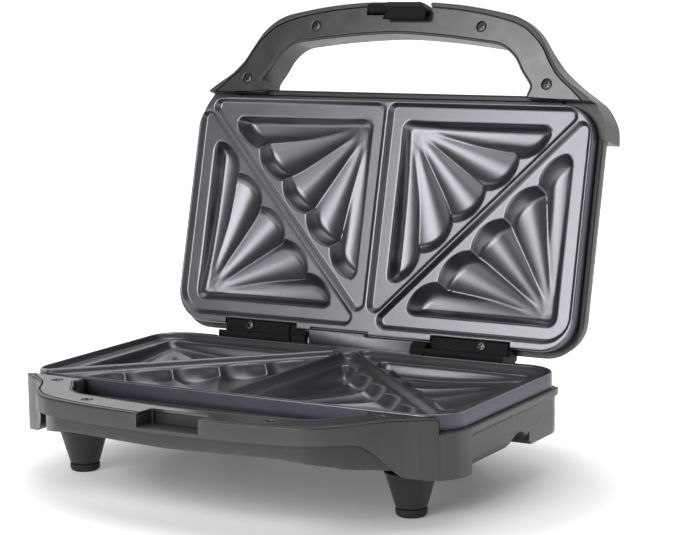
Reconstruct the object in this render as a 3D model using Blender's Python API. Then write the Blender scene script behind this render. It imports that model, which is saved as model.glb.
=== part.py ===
"""An open sandwich toaster, in metres, +Z up, standing on the plane z = 0 with its lid raised.

Each half is modelled face up in a half frame whose origin is the middle of the hinge axis.
A point there is (u, s, d): u to the right, s ahead of the hinge axis and d below the parting
plane, in which the rims of the two plates meet. The base hangs on an empty at the hinge, and
the lid hangs on another that turns it over and tips it back to the angle of the open lid.
"""

import math

import bmesh
import bpy
from mathutils import Matrix, Vector

MM = 0.001

# Overall
OPEN_ANGLE = math.radians(104.4)
HINGE_HEIGHT = 60.2 * MM
HINGE_BACK = 71.4 * MM
GAP = 0.3 * MM
PARTING_GAP = 0.5 * MM
REACH = 80.0 * MM  # past anything that a cutter goes through

# Plates
PLATE_HALF = 140.0 * MM
PLATE_REAR = 6.35 * MM
PLATE_FRONT = 155.1 * MM
PLATE_CORNER = 21.0 * MM
PLATE_WALL = 2.4 * MM
PLATE_DEPTH = 10.7 * MM
SHELF_DEPTH = 3.55 * MM
SHELF_SIDE = 4.0 * MM
SHELF_ENDS = (PLATE_REAR + 6.6 * MM, PLATE_FRONT - 2.8 * MM)
RIM_SIDE = 1.6 * MM
RIM_ENDS = (PLATE_REAR + 5.25 * MM, PLATE_FRONT - 1.55 * MM)
CENTRE_RIB = 1.1 * MM
CENTRE_RIB_FOOT = 3.5 * MM
DIAGONAL_START = 20.85 * MM
DIAGONAL_END = PLATE_FRONT + 3.15 * MM
DIAGONAL_SLOPE = (DIAGONAL_END - DIAGONAL_START) / (PLATE_HALF - SHELF_SIDE - CENTRE_RIB_FOOT)
DIAGONAL_HALF = 0.9 * MM
DIAGONAL_HALF_FOOT = 3.25 * MM
POCKET_CORNER = 7.0 * MM

# Heating: a rod that runs between the skirt of its plate and the hollows
SHELL_WALL = 2.2 * MM
ELEMENT_RADIUS = 2.75 * MM
ELEMENT_CLEARANCE = 1.05 * MM
ELEMENT_REAR_CLEARANCE = 0.85 * MM
ELEMENT_FRONT_CLEARANCE = 0.75 * MM
ELEMENT_SIDE = PLATE_HALF - PLATE_WALL - ELEMENT_CLEARANCE - ELEMENT_RADIUS
ELEMENT_ENDS = (RIM_ENDS[0] + GAP + ELEMENT_REAR_CLEARANCE + ELEMENT_RADIUS,
                PLATE_FRONT - PLATE_WALL - ELEMENT_FRONT_CLEARANCE - ELEMENT_RADIUS)
ELEMENT_CORNER = 13.5 * MM
ELEMENT_DEPTH = SHELF_DEPTH + PLATE_WALL + GAP + ELEMENT_RADIUS
TERMINAL_HALF = 14.0 * MM
TERMINAL_DROP = 6.0 * MM
TERMINAL_BEND = 1.5 * MM

# Shell-shaped hollows in the pockets
SHELL_OUTER = (ELEMENT_SIDE - ELEMENT_RADIUS - ELEMENT_CLEARANCE - SHELL_WALL,
               ELEMENT_ENDS[0] + ELEMENT_RADIUS + MM + SHELL_WALL)
SHELL_INNER = (10.93 * MM, ELEMENT_ENDS[1] - ELEMENT_RADIUS - ELEMENT_CLEARANCE - SHELL_WALL)
FLUTES = 5
FLUTE_FIRST = (0.85 * MM, min(SHELL_OUTER[0] - 45.35 * MM, SHELL_INNER[1] - SHELL_OUTER[1] - 39.3 * MM))
FLUTE_STEP = (FLUTE_FIRST[1] - FLUTE_FIRST[0]) / (FLUTES - 1)
FLUTE_RADIUS = 24.2 * MM
FLUTE_RISE = 13.2 * MM
APEX_RADIUS = 5.0 * MM
APEX_INSET = 4.0 * MM
SHELL_LEG = 125.0 * MM
SHELL_DRAFT = 6.0 * MM
SHELL_REACH = 13.0 * MM

# Casings
CASE_HALF = PLATE_HALF + 3.6 * MM
CASE_REAR = PLATE_REAR - 3.35 * MM
CASE_FRONT = PLATE_FRONT + 6.4 * MM
CASE_CORNER = 24.0 * MM
CASE_LIP_TOP = 9.2 * MM
CASE_LIP_BOTTOM = 13.6 * MM
CASE_LIP = 2.0 * MM
BASE_FLOOR = 34.5 * MM
LID_TOP = 33.5 * MM
CASE_WALL = 2.2 * MM
LEDGE_DEPTH = PLATE_DEPTH + GAP
REFLECTOR_LEDGE = 18.25 * MM
REFLECTOR_INSET = 1.5 * MM
REFLECTOR_ENDS = (CASE_REAR + 9.0 * MM, PLATE_FRONT - 4.1 * MM)
REFLECTOR_CORNER = 16.0 * MM
REFLECTOR_THICK = 0.6 * MM
LOWER_ROOM_HALF = CASE_HALF - 22.6 * MM
LOWER_ROOM_ENDS = (CASE_REAR + 14.0 * MM, CASE_FRONT - 15.5 * MM)
LEG_PROFILE = [(38.7, 26.0), (38.7, 31.5), (41.5, 34.0), (55.0, 34.0), (57.8, 31.5), (57.8, 26.0)]
LEG_SPAN = (CASE_HALF - 19.6 * MM, CASE_HALF - 3.6 * MM)
SIDE_NOTCH = (71.6 * MM, 39.2 * MM)
SIDE_NOTCH_RADIUS = 14.1 * MM
SIDE_NOTCH_SPAN = (CASE_HALF - 18.6 * MM, CASE_HALF + 6.4 * MM)

# Handles: half outlines from the shoulder to the middle, as (u, s)
HANDLE_OUTLINE = [
    (144.3, 135.9), (142.6, 146.9), (136.1, 157.8), (128.4, 164.0), (119.2, 170.3), (111.0, 178.6),
    (104.8, 188.4), (97.0, 199.3), (86.0, 207.4), (71.4, 211.5), (40.6, 216.3), (0.0, 218.4),
]
COVER_OUTLINE = [
    (130.3, 158.2), (122.6, 165.0), (113.9, 172.2), (107.2, 180.9), (102.3, 189.1), (96.6, 195.4),
    (86.9, 202.7), (69.5, 208.3), (40.6, 213.1), (0.0, 215.7),
]
OPENING_OUTLINE = [
    (95.1, 159.2), (97.1, 164.3), (96.5, 167.8), (90.5, 175.6), (84.3, 184.9), (74.1, 191.9),
    (60.0, 194.3), (33.3, 197.2), (0.0, 199.1),
]
SHOULDER_DEPTHS = [
    (97.0, 10.5), (104.8, 12.0), (111.0, 20.0), (119.0, 30.5), (128.4, 33.0), (136.0, 34.0),
    (150.0, 34.5),
]
CORE_DEPTHS = [(0.0, 22.0), (60.0, 22.0), (90.0, 27.0), (99.0, 31.0), (118.0, 31.0)]
CORE_INSET = 7.5 * MM
CORE_TOP = 5.0 * MM
HANDLE_DEPTH = 40.0 * MM
HANDLE_LIP = 1.7 * MM
COVER_THICK = 1.5 * MM
SCREW_SPOTS = [(58.9 * MM, 202.4 * MM), (106.7 * MM, 167.3 * MM)]
SCREW_HEAD = 2.9 * MM
SCREW_SHANK = 1.3 * MM
SCREW_LENGTH = 9.0 * MM
SINK_DEPTH = 1.0 * MM

# Hinge
EAR_SPAN = (37.5 * MM, 47.3 * MM)
EAR_RADIUS = 6.0 * MM
ARM_SPAN = (EAR_SPAN[1] + 2 * GAP, 101.1 * MM)
ARM_RADIUS = 7.0 * MM
ARM_DEPTH = 13.0 * MM
NOTCH_CLEARANCE = 0.4 * MM
NOTCH_SPAN = (ARM_SPAN[0] - NOTCH_CLEARANCE, ARM_SPAN[1] + NOTCH_CLEARANCE)
NOTCH_FRONT = 9.65 * MM
PIN_RADIUS = 2.0 * MM
PIN_BITE = 12.0 * MM
GUARD_HALF = EAR_SPAN[0] - 2 * GAP
GUARD_TOP = 5.5 * MM
GUARD_TALL_TOP = 7.3 * MM
GUARD_TALL_END = 3.0 * MM
GUARD_FRONT = 1.0 * MM
GUARD_CLEARANCE = 1.2 * MM
HINGE_COVER_THICK = 1.5 * MM
HINGE_COVER_SPOT = (ARM_SPAN[1] - 18.6 * MM, 6.1 * MM)

# Latch
LATCH_PIVOT = (213.0 * MM, 7.5 * MM)
LATCH_BAR_HALF = 22.0 * MM
LATCH_TONGUE = (-22.6 * MM, 7.5 * MM)
LATCH_BAR_PROFILE = [
    (210.8, 1.6), (212.0, 0.4), (216.4, 0.4), (217.8, 1.8), (217.8, 8.4), (216.4, 9.8), (210.8, 9.8),
]
LATCH_TONGUE_PROFILE = [
    (210.8, 1.6), (209.8, -3.7), (205.5, -3.7), (205.5, -4.9), (206.5, -5.7), (213.5, -5.7),
    (217.2, -2.0), (217.4, 3.0), (212.0, 3.0),
]
LATCH_SLOT_REAR = 209.2 * MM
LATCH_SLOT_DEPTH = 12.0 * MM
LATCH_PIN_HALF = LATCH_BAR_HALF + 3.5 * MM
LATCH_PIN_RADIUS = 1.2 * MM
SPRING_WIRE = 0.4 * MM
SPRING_TURNS = 3
SPRING_HALF = 3.5 * MM
SPRING_ROOM = 3.0 * MM
SPRING_ROOM_HALF = SPRING_HALF + 1.5 * MM
RECESS_SPAN = (-14.0 * MM, 24.0 * MM)
RECESS_REAR = 204.9 * MM
RECESS_DEPTH = 8.5 * MM
CATCH_UNDERCUT = 2.6 * MM

# Feet
FRONT_FOOT = (CASE_HALF - 34.0 * MM, CASE_FRONT - 21.7 * MM)
REAR_FOOT = (78.0 * MM, CASE_REAR + 16.5 * MM)
FOOT_TOP_RADIUS = 16.4 * MM
FOOT_TIP_RADIUS = 11.3 * MM
PAD_RADIUS = 10.3 * MM
PAD_HEIGHT = 4.7 * MM

# Mains inlet
INLET_SPOT = (LOWER_ROOM_HALF - 16.0 * MM, 23.0 * MM)
INLET_RADIUS = 4.2 * MM
INLET_BORE = 2.6 * MM
INLET_DEPTH = 25.0 * MM

# Lamps
LENS_SPOTS = [(-9.0 * MM, 128.0 * MM), (9.0 * MM, 128.0 * MM)]
LENS_RADIUS = 3.4 * MM
LENS_DEPTH = 2.8 * MM
LAMP_RADIUS = 1.9 * MM
LAMP_ROOM = 8.0 * MM

# Thermostat, fuse and terminals under the lower plate
THERMOSTAT_SPOT = (0.0, 29.0 * MM)
THERMOSTAT_RADIUS = 8.0 * MM
THERMOSTAT_STEM = 4.0 * MM
THERMOSTAT_HEIGHTS = (6.0 * MM, 9.0 * MM)
FUSE_START = 41.5 * MM
FUSE_RADIUS = 2.5 * MM
FUSE_LEAD = 1.2 * MM
TERMINAL_BLOCK = (LOWER_ROOM_HALF - 51.0 * MM, LOWER_ROOM_HALF - 21.0 * MM)
TERMINAL_BLOCK_SIZE = (12.0 * MM, 10.0 * MM)
TERMINAL_SLOTS = (TERMINAL_BLOCK[0] + 9.0 * MM, TERMINAL_BLOCK[0] + 19.0 * MM)


def clear_scene():
    for thing in list(bpy.data.objects):
        bpy.data.objects.remove(thing, do_unlink=True)


clear_scene()
PARTS = bpy.data.collections.new("sandwich_toaster")
CUTTERS = bpy.data.collections.new("cutters")
for group in (PARTS, CUTTERS):
    bpy.context.scene.collection.children.link(group)


def at(u, s, d):
    """A point of the half frame as Blender coordinates."""
    return Vector((u, -s, -d))


def made(bm, name):
    """A closed mesh object, its faces pointing out, among the cutters."""
    bmesh.ops.recalc_face_normals(bm, faces=bm.faces)
    mesh = bpy.data.meshes.new(name)
    bm.to_mesh(mesh)
    bm.free()
    thing = bpy.data.objects.new(name, mesh)
    CUTTERS.objects.link(thing)
    thing.hide_render = True
    thing.display_type = "WIRE"
    return thing


def extruded(points, travel, name="prism"):
    """A flat outline of 3D points, pushed along a vector."""
    bm = bmesh.new()
    face = bm.faces.new([bm.verts.new(point) for point in points])
    pushed = bmesh.ops.extrude_face_region(bm, geom=[face])
    corners = [item for item in pushed["geom"] if isinstance(item, bmesh.types.BMVert)]
    bmesh.ops.translate(bm, verts=corners, vec=travel)
    return made(bm, name)


def prism(outline, top, bottom, name="prism"):
    """A (u, s) outline from depth top down to depth bottom."""
    return extruded([at(u, s, top) for u, s in outline], Vector((0, 0, top - bottom)), name)


def across(profile, left, right, name="bar"):
    """An (s, d) profile from u = left to u = right."""
    return extruded([at(left, s, d) for s, d in profile], Vector((right - left, 0, 0)), name)


def along(profile, rear, front, name="run"):
    """A (u, d) profile from s = rear to s = front."""
    return extruded([at(u, rear, d) for u, d in profile], Vector((0, rear - front, 0)), name)


def loft(sections, name="loft"):
    """A closed skin over (outline, depth) sections with the same number of points."""
    bm = bmesh.new()
    rings = [[bm.verts.new(at(u, s, depth)) for u, s in outline] for outline, depth in sections]
    for upper, lower in zip(rings, rings[1:]):
        for i, vert in enumerate(upper):
            after = (i + 1) % len(upper)
            bm.faces.new([vert, upper[after], lower[after], lower[i]])
    bm.faces.new(rings[0])
    bm.faces.new(rings[-1])
    return made(bm, name)


def turned(profile, place, axis, segments=20, name="turned"):
    """A (radius, height) profile spun about an axis through place; both ends lie on the axis."""
    bm = bmesh.new()
    verts = [bm.verts.new((radius, 0, height)) for radius, height in profile]
    for first, second in zip(verts, verts[1:]):
        bm.edges.new([first, second])
    bmesh.ops.spin(bm, geom=bm.verts[:] + bm.edges[:], cent=(0, 0, 0), axis=(0, 0, 1),
                   angle=math.tau, steps=segments, use_merge=True)
    bmesh.ops.remove_doubles(bm, verts=bm.verts, dist=1e-6)
    turn = Vector((0, 0, 1)).rotation_difference(Vector(axis)).to_matrix().to_4x4()
    bmesh.ops.transform(bm, matrix=Matrix.Translation(place) @ turn, verts=bm.verts)
    return made(bm, name)


def rod(place, axis, radius, length, segments=16, name="rod"):
    """A plain round bar that starts at place."""
    return turned([(0, 0), (radius, 0), (radius, length), (0, length)], place, axis, segments, name)


def tube(points, radius, name):
    """A wire through the points, made a mesh with welded caps."""
    curve = bpy.data.curves.new(name, "CURVE")
    curve.dimensions = "3D"
    curve.bevel_depth = radius
    curve.bevel_resolution = 2
    curve.use_fill_caps = True
    spline = curve.splines.new("POLY")
    spline.points.add(len(points) - 1)
    for spot, point in zip(spline.points, points):
        spot.co = (*point, 1)
    source = bpy.data.objects.new(name, curve)
    CUTTERS.objects.link(source)
    bm = bmesh.new()
    bm.from_mesh(evaluated_mesh(source))
    bpy.data.objects.remove(source)
    bmesh.ops.remove_doubles(bm, verts=bm.verts, dist=1e-6)
    return made(bm, name)


def evaluated_mesh(thing):
    graph = bpy.context.evaluated_depsgraph_get()
    return bpy.data.meshes.new_from_object(thing.evaluated_get(graph))


def combine(target, tools, operation="DIFFERENCE"):
    """Cuts, joins or intersects the target with each tool, and removes the tools."""
    for tool in tools:
        change = target.modifiers.new(operation.lower(), "BOOLEAN")
        change.operation = operation
        change.solver = "EXACT"
        change.object = tool
        target.data = evaluated_mesh(target)
        target.modifiers.clear()
        bpy.data.objects.remove(tool)
    return target


def copy_of(thing, matrix=None):
    twin = thing.copy()
    twin.data = thing.data.copy()
    CUTTERS.objects.link(twin)
    if matrix is not None:
        twin.data.transform(matrix)
    return twin


def smooth(points, steps):
    """A Catmull-Rom curve through the points, with its ends."""
    line = []
    for i in range(len(points) - 1):
        before = Vector(points[max(i - 1, 0)])
        start, end = Vector(points[i]), Vector(points[i + 1])
        after = Vector(points[min(i + 2, len(points) - 1)])
        for k in range(steps):
            t = k / steps
            line.append(0.5 * (2 * start + (end - before) * t
                               + (2 * before - 5 * start + 4 * end - after) * t * t
                               + (3 * start - before - 3 * end + after) * t ** 3))
    return line + [Vector(points[-1])]


def arch(half, inset=0.0, steps=2):
    """A half outline in mm made whole about the middle, smoothed, and moved inwards by inset."""
    right = [Vector(point) * MM for point in half]
    line = smooth(right + [Vector((-p.x, p.y)) for p in reversed(right[:-1])], steps)
    moved = []
    for i, point in enumerate(line):
        run = (line[min(i + 1, len(line) - 1)] - line[max(i - 1, 0)]).normalized()
        moved.append(point + inset * Vector((-run.y, run.x)))
    return moved


def band_between(outer, inner, tail=0.0):
    """The closed outline of an arched band, its two ends lengthened towards the hinge."""
    if not tail:
        return outer + inner[::-1]
    ends = [Vector((p.x, p.y - tail)) for p in (outer[0], outer[-1], inner[-1], inner[0])]
    return [ends[0]] + outer + ends[1:3] + inner[::-1] + [ends[3]]


def rounded(corners, radius, steps=4):
    """A polygon with its corners rounded."""
    line = []
    for i, corner in enumerate(corners):
        here = Vector(corner)
        back = (Vector(corners[i - 1]) - here).normalized()
        ahead = (Vector(corners[(i + 1) % len(corners)]) - here).normalized()
        half = 0.5 * back.angle(ahead)
        centre = here + (back + ahead).normalized() * radius / math.sin(half)
        start = here + back * radius / math.tan(half) - centre
        end = here + ahead * radius / math.tan(half) - centre
        sweep = start.angle_signed(end)
        for k in range(steps + 1):
            turn = Matrix.Rotation(-sweep * k / steps, 2)
            line.append(centre + turn @ start)
    return line


def rectangle(half, rear, front, radius, steps=4):
    return rounded([(half, rear), (half, front), (-half, front), (-half, rear)], radius, steps)


def arc(centre, radius, start, end, steps):
    """Points of an arc in a flat frame, with its ends, in degrees."""
    angles = [math.radians(start + (end - start) * k / steps) for k in range(steps + 1)]
    return [(centre[0] + radius * math.cos(a), centre[1] + radius * math.sin(a)) for a in angles]


# Plates


def flute(start, start_radius, end, end_radius, segments):
    """A cone that widens to a ball, as one turned piece."""
    axis = end - start
    lean = math.asin((end_radius - start_radius) / axis.length)
    tangent = 0.5 * math.pi + lean
    large = [tangent * (1 - k / 5) for k in range(5)]
    profile = [(0, 0), (start_radius, 0)]
    profile += [(end_radius * math.sin(a), axis.length + end_radius * math.cos(a)) for a in large]
    profile.append((0, axis.length + end_radius))
    return turned(profile, start, axis, segments, "flute")


def ball(centre, radius, name="ball"):
    bm = bmesh.new()
    bmesh.ops.create_uvsphere(bm, u_segments=14, v_segments=7, radius=radius)
    bmesh.ops.translate(bm, verts=bm.verts, vec=centre)
    return made(bm, name)


def tidied(thing, distance):
    """Points of a Boolean's result this close made one."""
    bm = bmesh.new()
    bm.from_mesh(thing.data)
    bmesh.ops.remove_doubles(bm, verts=bm.verts, dist=distance)
    bmesh.ops.dissolve_degenerate(bm, edges=bm.edges, dist=distance)
    bm.to_mesh(thing.data)
    bm.free()
    return thing


def shell_form(wall, segments):
    """The scallop between the legs of a corner at the origin, below z = 0, grown by a wall."""
    apex = Vector((APEX_INSET, APEX_INSET, 0))
    flutes = []
    for k in range(FLUTES):
        x = FLUTE_FIRST[0] + FLUTE_STEP * k
        y = FLUTE_FIRST[1] - FLUTE_STEP * k
        end = Vector((x, y, FLUTE_RISE))
        flutes.append(flute(apex, APEX_RADIUS + wall, end, FLUTE_RADIUS + wall, segments))
    form = combine(ball(apex, APEX_RADIUS + wall + GAP), flutes, "UNION")

    def legs(inset):
        low = inset - wall
        return [(low, low), (low, SHELL_LEG), (SHELL_LEG, low)]

    bm = bmesh.new()
    upper = [bm.verts.new((x, y, MM)) for x, y in legs(0)]
    lower = [bm.verts.new((x, y, -SHELL_REACH - wall)) for x, y in legs(SHELL_DRAFT)]
    bm.faces.new(upper)
    bm.faces.new(lower)
    for i in range(3):
        bm.faces.new([upper[i], upper[i - 2], lower[i - 2], lower[i]])
    return tidied(combine(form, [made(bm, "wedge")], "INTERSECT"), 0.05 * MM)


def shell_places():
    """Where the four shells of a plate stand: their corner and their turn."""
    for corner, turns in ((SHELL_INNER, (0, 90)), (SHELL_OUTER, (180, -90))):
        for side, degrees in zip((1, -1), turns):
            place = Matrix.Translation(at(side * corner[0], corner[1], SHELF_DEPTH))
            yield place @ Matrix.Rotation(math.radians(degrees), 4, "Z")


def pocket(side, outer):
    """One three-cornered pocket of a plate, from its rim down to its shelf."""
    levels = []
    for at_rim in (True, False):
        rear, front = RIM_ENDS if at_rim else SHELF_ENDS
        edge = PLATE_HALF - (RIM_SIDE if at_rim else SHELF_SIDE)
        centre = CENTRE_RIB if at_rim else CENTRE_RIB_FOOT
        half = (DIAGONAL_HALF if at_rim else DIAGONAL_HALF_FOOT) * math.hypot(1, DIAGONAL_SLOPE)
        start = DIAGONAL_START - half if outer else DIAGONAL_START + half
        origin = CENTRE_RIB_FOOT
        if outer:
            corners = [(origin + (rear - start) / DIAGONAL_SLOPE, rear), (edge, rear),
                       (edge, start + (edge - origin) * DIAGONAL_SLOPE)]
        else:
            corners = [(centre, front), (centre, start + (centre - origin) * DIAGONAL_SLOPE),
                       (origin + (front - start) / DIAGONAL_SLOPE, front)]
        line = rounded([(side * u, s) for u, s in corners], POCKET_CORNER)
        levels.append((line, 0.0 if at_rim else SHELF_DEPTH))
    growth = [(2 * a - b) for a, b in zip(levels[0][0], levels[1][0])]
    return loft([(growth, -SHELF_DEPTH), levels[1]], "pocket")


def make_plate(name, cavity, tub):
    """A pressed plate with a rim, two pairs of pockets and a shell in each."""
    outline = rectangle(PLATE_HALF, PLATE_REAR, PLATE_FRONT, PLATE_CORNER, 5)
    plate = prism(outline, 0, PLATE_DEPTH, name)
    web = SHELF_DEPTH + PLATE_WALL
    inner = rectangle(PLATE_HALF - PLATE_WALL, RIM_ENDS[0] + GAP, PLATE_FRONT - PLATE_WALL,
                      PLATE_CORNER - PLATE_WALL, 5)
    combine(plate, [prism(inner, web, PLATE_DEPTH + MM)])
    combine(plate, [copy_of(tub, place) for place in shell_places()], "UNION")
    combine(plate, [pocket(side, outer) for side in (1, -1) for outer in (True, False)])
    combine(plate, [copy_of(cavity, place) for place in shell_places()])
    notches = []
    for side in (1, -1):
        corners = [(side * u, s) for u in NOTCH_SPAN for s in (0, NOTCH_FRONT)]
        notches.append(prism([corners[i] for i in (0, 1, 3, 2)], -MM, PLATE_DEPTH + MM))
    return combine(plate, notches)


def rear_guard():
    """The upright guard behind the lower plate's rim, with its taller left part."""
    front = GUARD_FRONT
    low = [(-front, 6.0 * MM), (-front, -GUARD_TOP), (front, -GUARD_TOP), (front, 4.0 * MM),
           (PLATE_REAR + MM, 4.0 * MM), (PLATE_REAR + MM, 6.0 * MM)]
    tall = [(s, -GUARD_TALL_TOP if d < 0 else d) for s, d in low]
    guard = across(low, -GUARD_HALF, GUARD_HALF, "guard")
    return combine(guard, [across(tall, -GUARD_HALF, GUARD_TALL_END)], "UNION")


# Casings


def case_sections(levels, steps=4):
    """Rounded rectangles for a casing, from (inset, depth) pairs."""
    return [(rectangle(CASE_HALF - inset, CASE_REAR + inset, CASE_FRONT - inset,
                       max(CASE_CORNER - inset, MM), steps), depth) for inset, depth in levels]


def handle_form():
    """The arch of the handle and its shoulders, with its opening cut out."""
    outer = arch(HANDLE_OUTLINE)
    reach = CASE_FRONT + REACH
    rear = HANDLE_OUTLINE[0][1] * MM - MM

    def under(depths, top):
        """A body above a profile of depths over u, the same on both sides."""
        right = [(u * MM, d * MM) for u, d in depths]
        left = [(-u, d) for u, d in reversed(right)]
        if right[0][0] == 0:
            left = left[:-1]
        edge = right[-1][0]
        return along([(-edge, top)] + left + right + [(edge, top)], rear, reach, "under")

    band = prism(outer, PARTING_GAP, HANDLE_DEPTH, "band")
    combine(band, [under(SHOULDER_DEPTHS, -MM)], "INTERSECT")
    core = prism(arch(HANDLE_OUTLINE, CORE_INSET), CORE_TOP, HANDLE_DEPTH, "core")
    combine(core, [under(CORE_DEPTHS, -MM)], "INTERSECT")
    combine(band, [core], "UNION")
    mouth = arch(OPENING_OUTLINE, HANDLE_LIP)
    return combine(band, [prism(mouth, -MM, HANDLE_DEPTH + MM)])


def cover_form(name):
    """The plate let into the face of a handle: an arch between two curves."""
    outline = band_between(arch(COVER_OUTLINE), arch(OPENING_OUTLINE))
    cover = prism(outline, PARTING_GAP, PARTING_GAP + COVER_THICK, name)
    sinks = []
    for side in (1, -1):
        for u, s in SCREW_SPOTS:
            profile = [(0, 2 * MM), (SCREW_HEAD + GAP, 2 * MM), (SCREW_HEAD + GAP, -SINK_DEPTH),
                       (SCREW_SHANK + GAP, -SINK_DEPTH), (SCREW_SHANK + GAP, -5 * MM), (0, -5 * MM)]
            sinks.append(turned(profile, at(side * u, s, PARTING_GAP), (0, 0, 1), 14, "sink"))
    return combine(cover, sinks)


def make_casing(name, levels, room):
    """A tub with a lip, its handle, the seat of its plate and of its handle cover."""
    casing = loft(case_sections(levels), name)
    combine(casing, [handle_form()], "UNION")
    seat = rectangle(PLATE_HALF + 2 * GAP, CASE_REAR - 5 * MM, PLATE_FRONT + 2 * GAP,
                     PLATE_CORNER + 2 * GAP, 5)
    hollow = rectangle(PLATE_HALF - PLATE_WALL - GAP, CASE_REAR + CASE_LIP + 2 * CASE_WALL,
                       PLATE_FRONT - PLATE_WALL, PLATE_CORNER - PLATE_WALL, 4)
    combine(casing, [prism(seat, -2 * MM, LEDGE_DEPTH), prism(hollow, LEDGE_DEPTH - MM, REFLECTOR_LEDGE)])
    combine(casing, [room])
    outline = band_between(arch(COVER_OUTLINE, -GAP), arch(OPENING_OUTLINE, GAP), 2 * GAP)
    combine(casing, [prism(outline, -MM, PARTING_GAP + COVER_THICK + GAP)])
    bores = []
    for side in (1, -1):
        for u, s in SCREW_SPOTS:
            bores.append(rod(at(side * u, s, 0), (0, 0, -1), SCREW_SHANK + GAP, SCREW_LENGTH + 2 * MM, 12))
    return combine(casing, bores)


def recess_mouth():
    """The outline of the recess that the latch closes into, open to the front."""
    left, right = RECESS_SPAN
    front = CASE_FRONT + REACH
    return [(left, RECESS_REAR), (right, RECESS_REAR), (right + MM, front), (left - 2 * MM, front)]


def latch_slot():
    """The outline of the slot that the latch sits in, open to the front."""
    reach = LATCH_BAR_HALF + 2 * GAP
    front = CASE_FRONT + REACH
    return [(reach, LATCH_SLOT_REAR), (reach, front), (-reach, front), (-reach, LATCH_SLOT_REAR)]


def make_base_housing():
    levels = [(0, CASE_LIP_TOP), (0, CASE_LIP_BOTTOM), (CASE_LIP, CASE_LIP_BOTTOM + 0.8 * MM),
              (CASE_LIP, 27 * MM), (3.2 * MM, 30 * MM), (6.5 * MM, 32.6 * MM), (14 * MM, 34.1 * MM),
              (22 * MM, BASE_FLOOR)]
    lower = rectangle(LOWER_ROOM_HALF, *LOWER_ROOM_ENDS, 12 * MM, 3)
    room = prism(lower, LEDGE_DEPTH, BASE_FLOOR - CASE_WALL)
    casing = make_casing("base_housing", levels, room)
    ears = []
    for side in (1, -1):
        round_top = arc((0, 0), EAR_RADIUS, 180, 360, 8)
        profile = round_top + [(EAR_RADIUS, LEDGE_DEPTH), (8 * MM, LEDGE_DEPTH + MM), (8 * MM, 26 * MM),
                               (4 * MM, 26 * MM), (-EAR_RADIUS, 8 * MM)]
        span = [side * u for u in EAR_SPAN]
        ears.append(across(profile, *span, "ear"))
    combine(casing, ears, "UNION")
    legs, notches = [], []
    for side in (1, -1):
        leg = [(s * MM, d * MM) for s, d in LEG_PROFILE]
        legs.append(across(leg, *[side * u for u in LEG_SPAN], "leg"))
        notch = arc(SIDE_NOTCH, SIDE_NOTCH_RADIUS, 0, 360, 16)[:-1]
        notches.append(across(notch, *[side * u for u in SIDE_NOTCH_SPAN], "notch"))
    combine(casing, legs, "UNION")
    combine(casing, notches)
    bore = EAR_SPAN[1] - EAR_SPAN[0] + 5.2 * MM
    cuts = [rod(at(side * (EAR_SPAN[0] - MM), 0, 0), (side, 0, 0), PIN_RADIUS + GAP, bore)
            for side in (1, -1)]
    left, right = RECESS_SPAN
    cuts.append(prism(recess_mouth(), -MM, RECESS_DEPTH))
    under = [(left + MM, RECESS_REAR - CATCH_UNDERCUT), (right - MM, RECESS_REAR - CATCH_UNDERCUT),
             (right - MM, RECESS_REAR + MM), (left + MM, RECESS_REAR + MM)]
    cuts.append(prism(under, PARTING_GAP + COVER_THICK, RECESS_DEPTH))
    cuts.append(rod(at(INLET_SPOT[0], -5 * MM, INLET_SPOT[1]), (0, -1, 0), INLET_RADIUS + GAP, INLET_DEPTH))
    return tidied(combine(casing, cuts), 0.02 * MM)


def make_lid_housing():
    levels = [(0, CASE_LIP_TOP), (0, CASE_LIP_BOTTOM), (CASE_LIP, CASE_LIP_BOTTOM + 0.8 * MM),
              (CASE_LIP, 20 * MM), (4 * MM, 25 * MM), (8.5 * MM, 29 * MM), (15 * MM, 31.8 * MM),
              (23 * MM, LID_TOP)]
    lower = rectangle(LOWER_ROOM_HALF, *LOWER_ROOM_ENDS, 12 * MM, 3)
    room = prism(lower, LEDGE_DEPTH, LID_TOP - 2 * CASE_WALL)
    casing = make_casing("lid_housing", levels, room)
    arms = []
    for side in (1, -1):
        knuckle = arc((0, 0), ARM_RADIUS, 135, 330, 10)
        profile = knuckle + [(NOTCH_FRONT - GAP, HINGE_COVER_THICK + GAP), (NOTCH_FRONT - GAP, ARM_DEPTH),
                             (0, ARM_DEPTH)]
        arms.append(across(profile, *[side * u for u in ARM_SPAN], "arm"))
    combine(casing, arms, "UNION")
    cuts = []
    for side in (1, -1):
        start = at(side * (ARM_SPAN[0] - MM), 0, 0)
        cuts.append(rod(start, (side, 0, 0), PIN_RADIUS + GAP, PIN_BITE + 2 * MM))
        spot = at(side * HINGE_COVER_SPOT[0], HINGE_COVER_SPOT[1], 0)
        cuts.append(rod(spot, (0, 0, -1), SCREW_SHANK + GAP, 9 * MM, 12))
        span = [side * (ARM_SPAN[0] - MM), side * (ARM_SPAN[1] + MM)]
        flat = [(1.8 * MM, -10 * MM), (12 * MM, -10 * MM), (12 * MM, HINGE_COVER_THICK + GAP),
                (1.8 * MM, HINGE_COVER_THICK + GAP)]
        cuts.append(across(flat, *span, "flat"))
    cuts.append(prism(latch_slot(), -MM, LATCH_SLOT_DEPTH))
    reach = LATCH_PIN_HALF + 0.5 * MM
    cuts.append(rod(at(-reach, *LATCH_PIVOT), (1, 0, 0), LATCH_PIN_RADIUS + GAP, 2 * reach, 12))
    for u, s in LENS_SPOTS:
        cuts.append(rod(at(u, s, LID_TOP - LAMP_ROOM), (0, 0, -1), LENS_RADIUS + GAP, 20 * MM))
    return tidied(combine(casing, cuts), 0.02 * MM)


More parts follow.
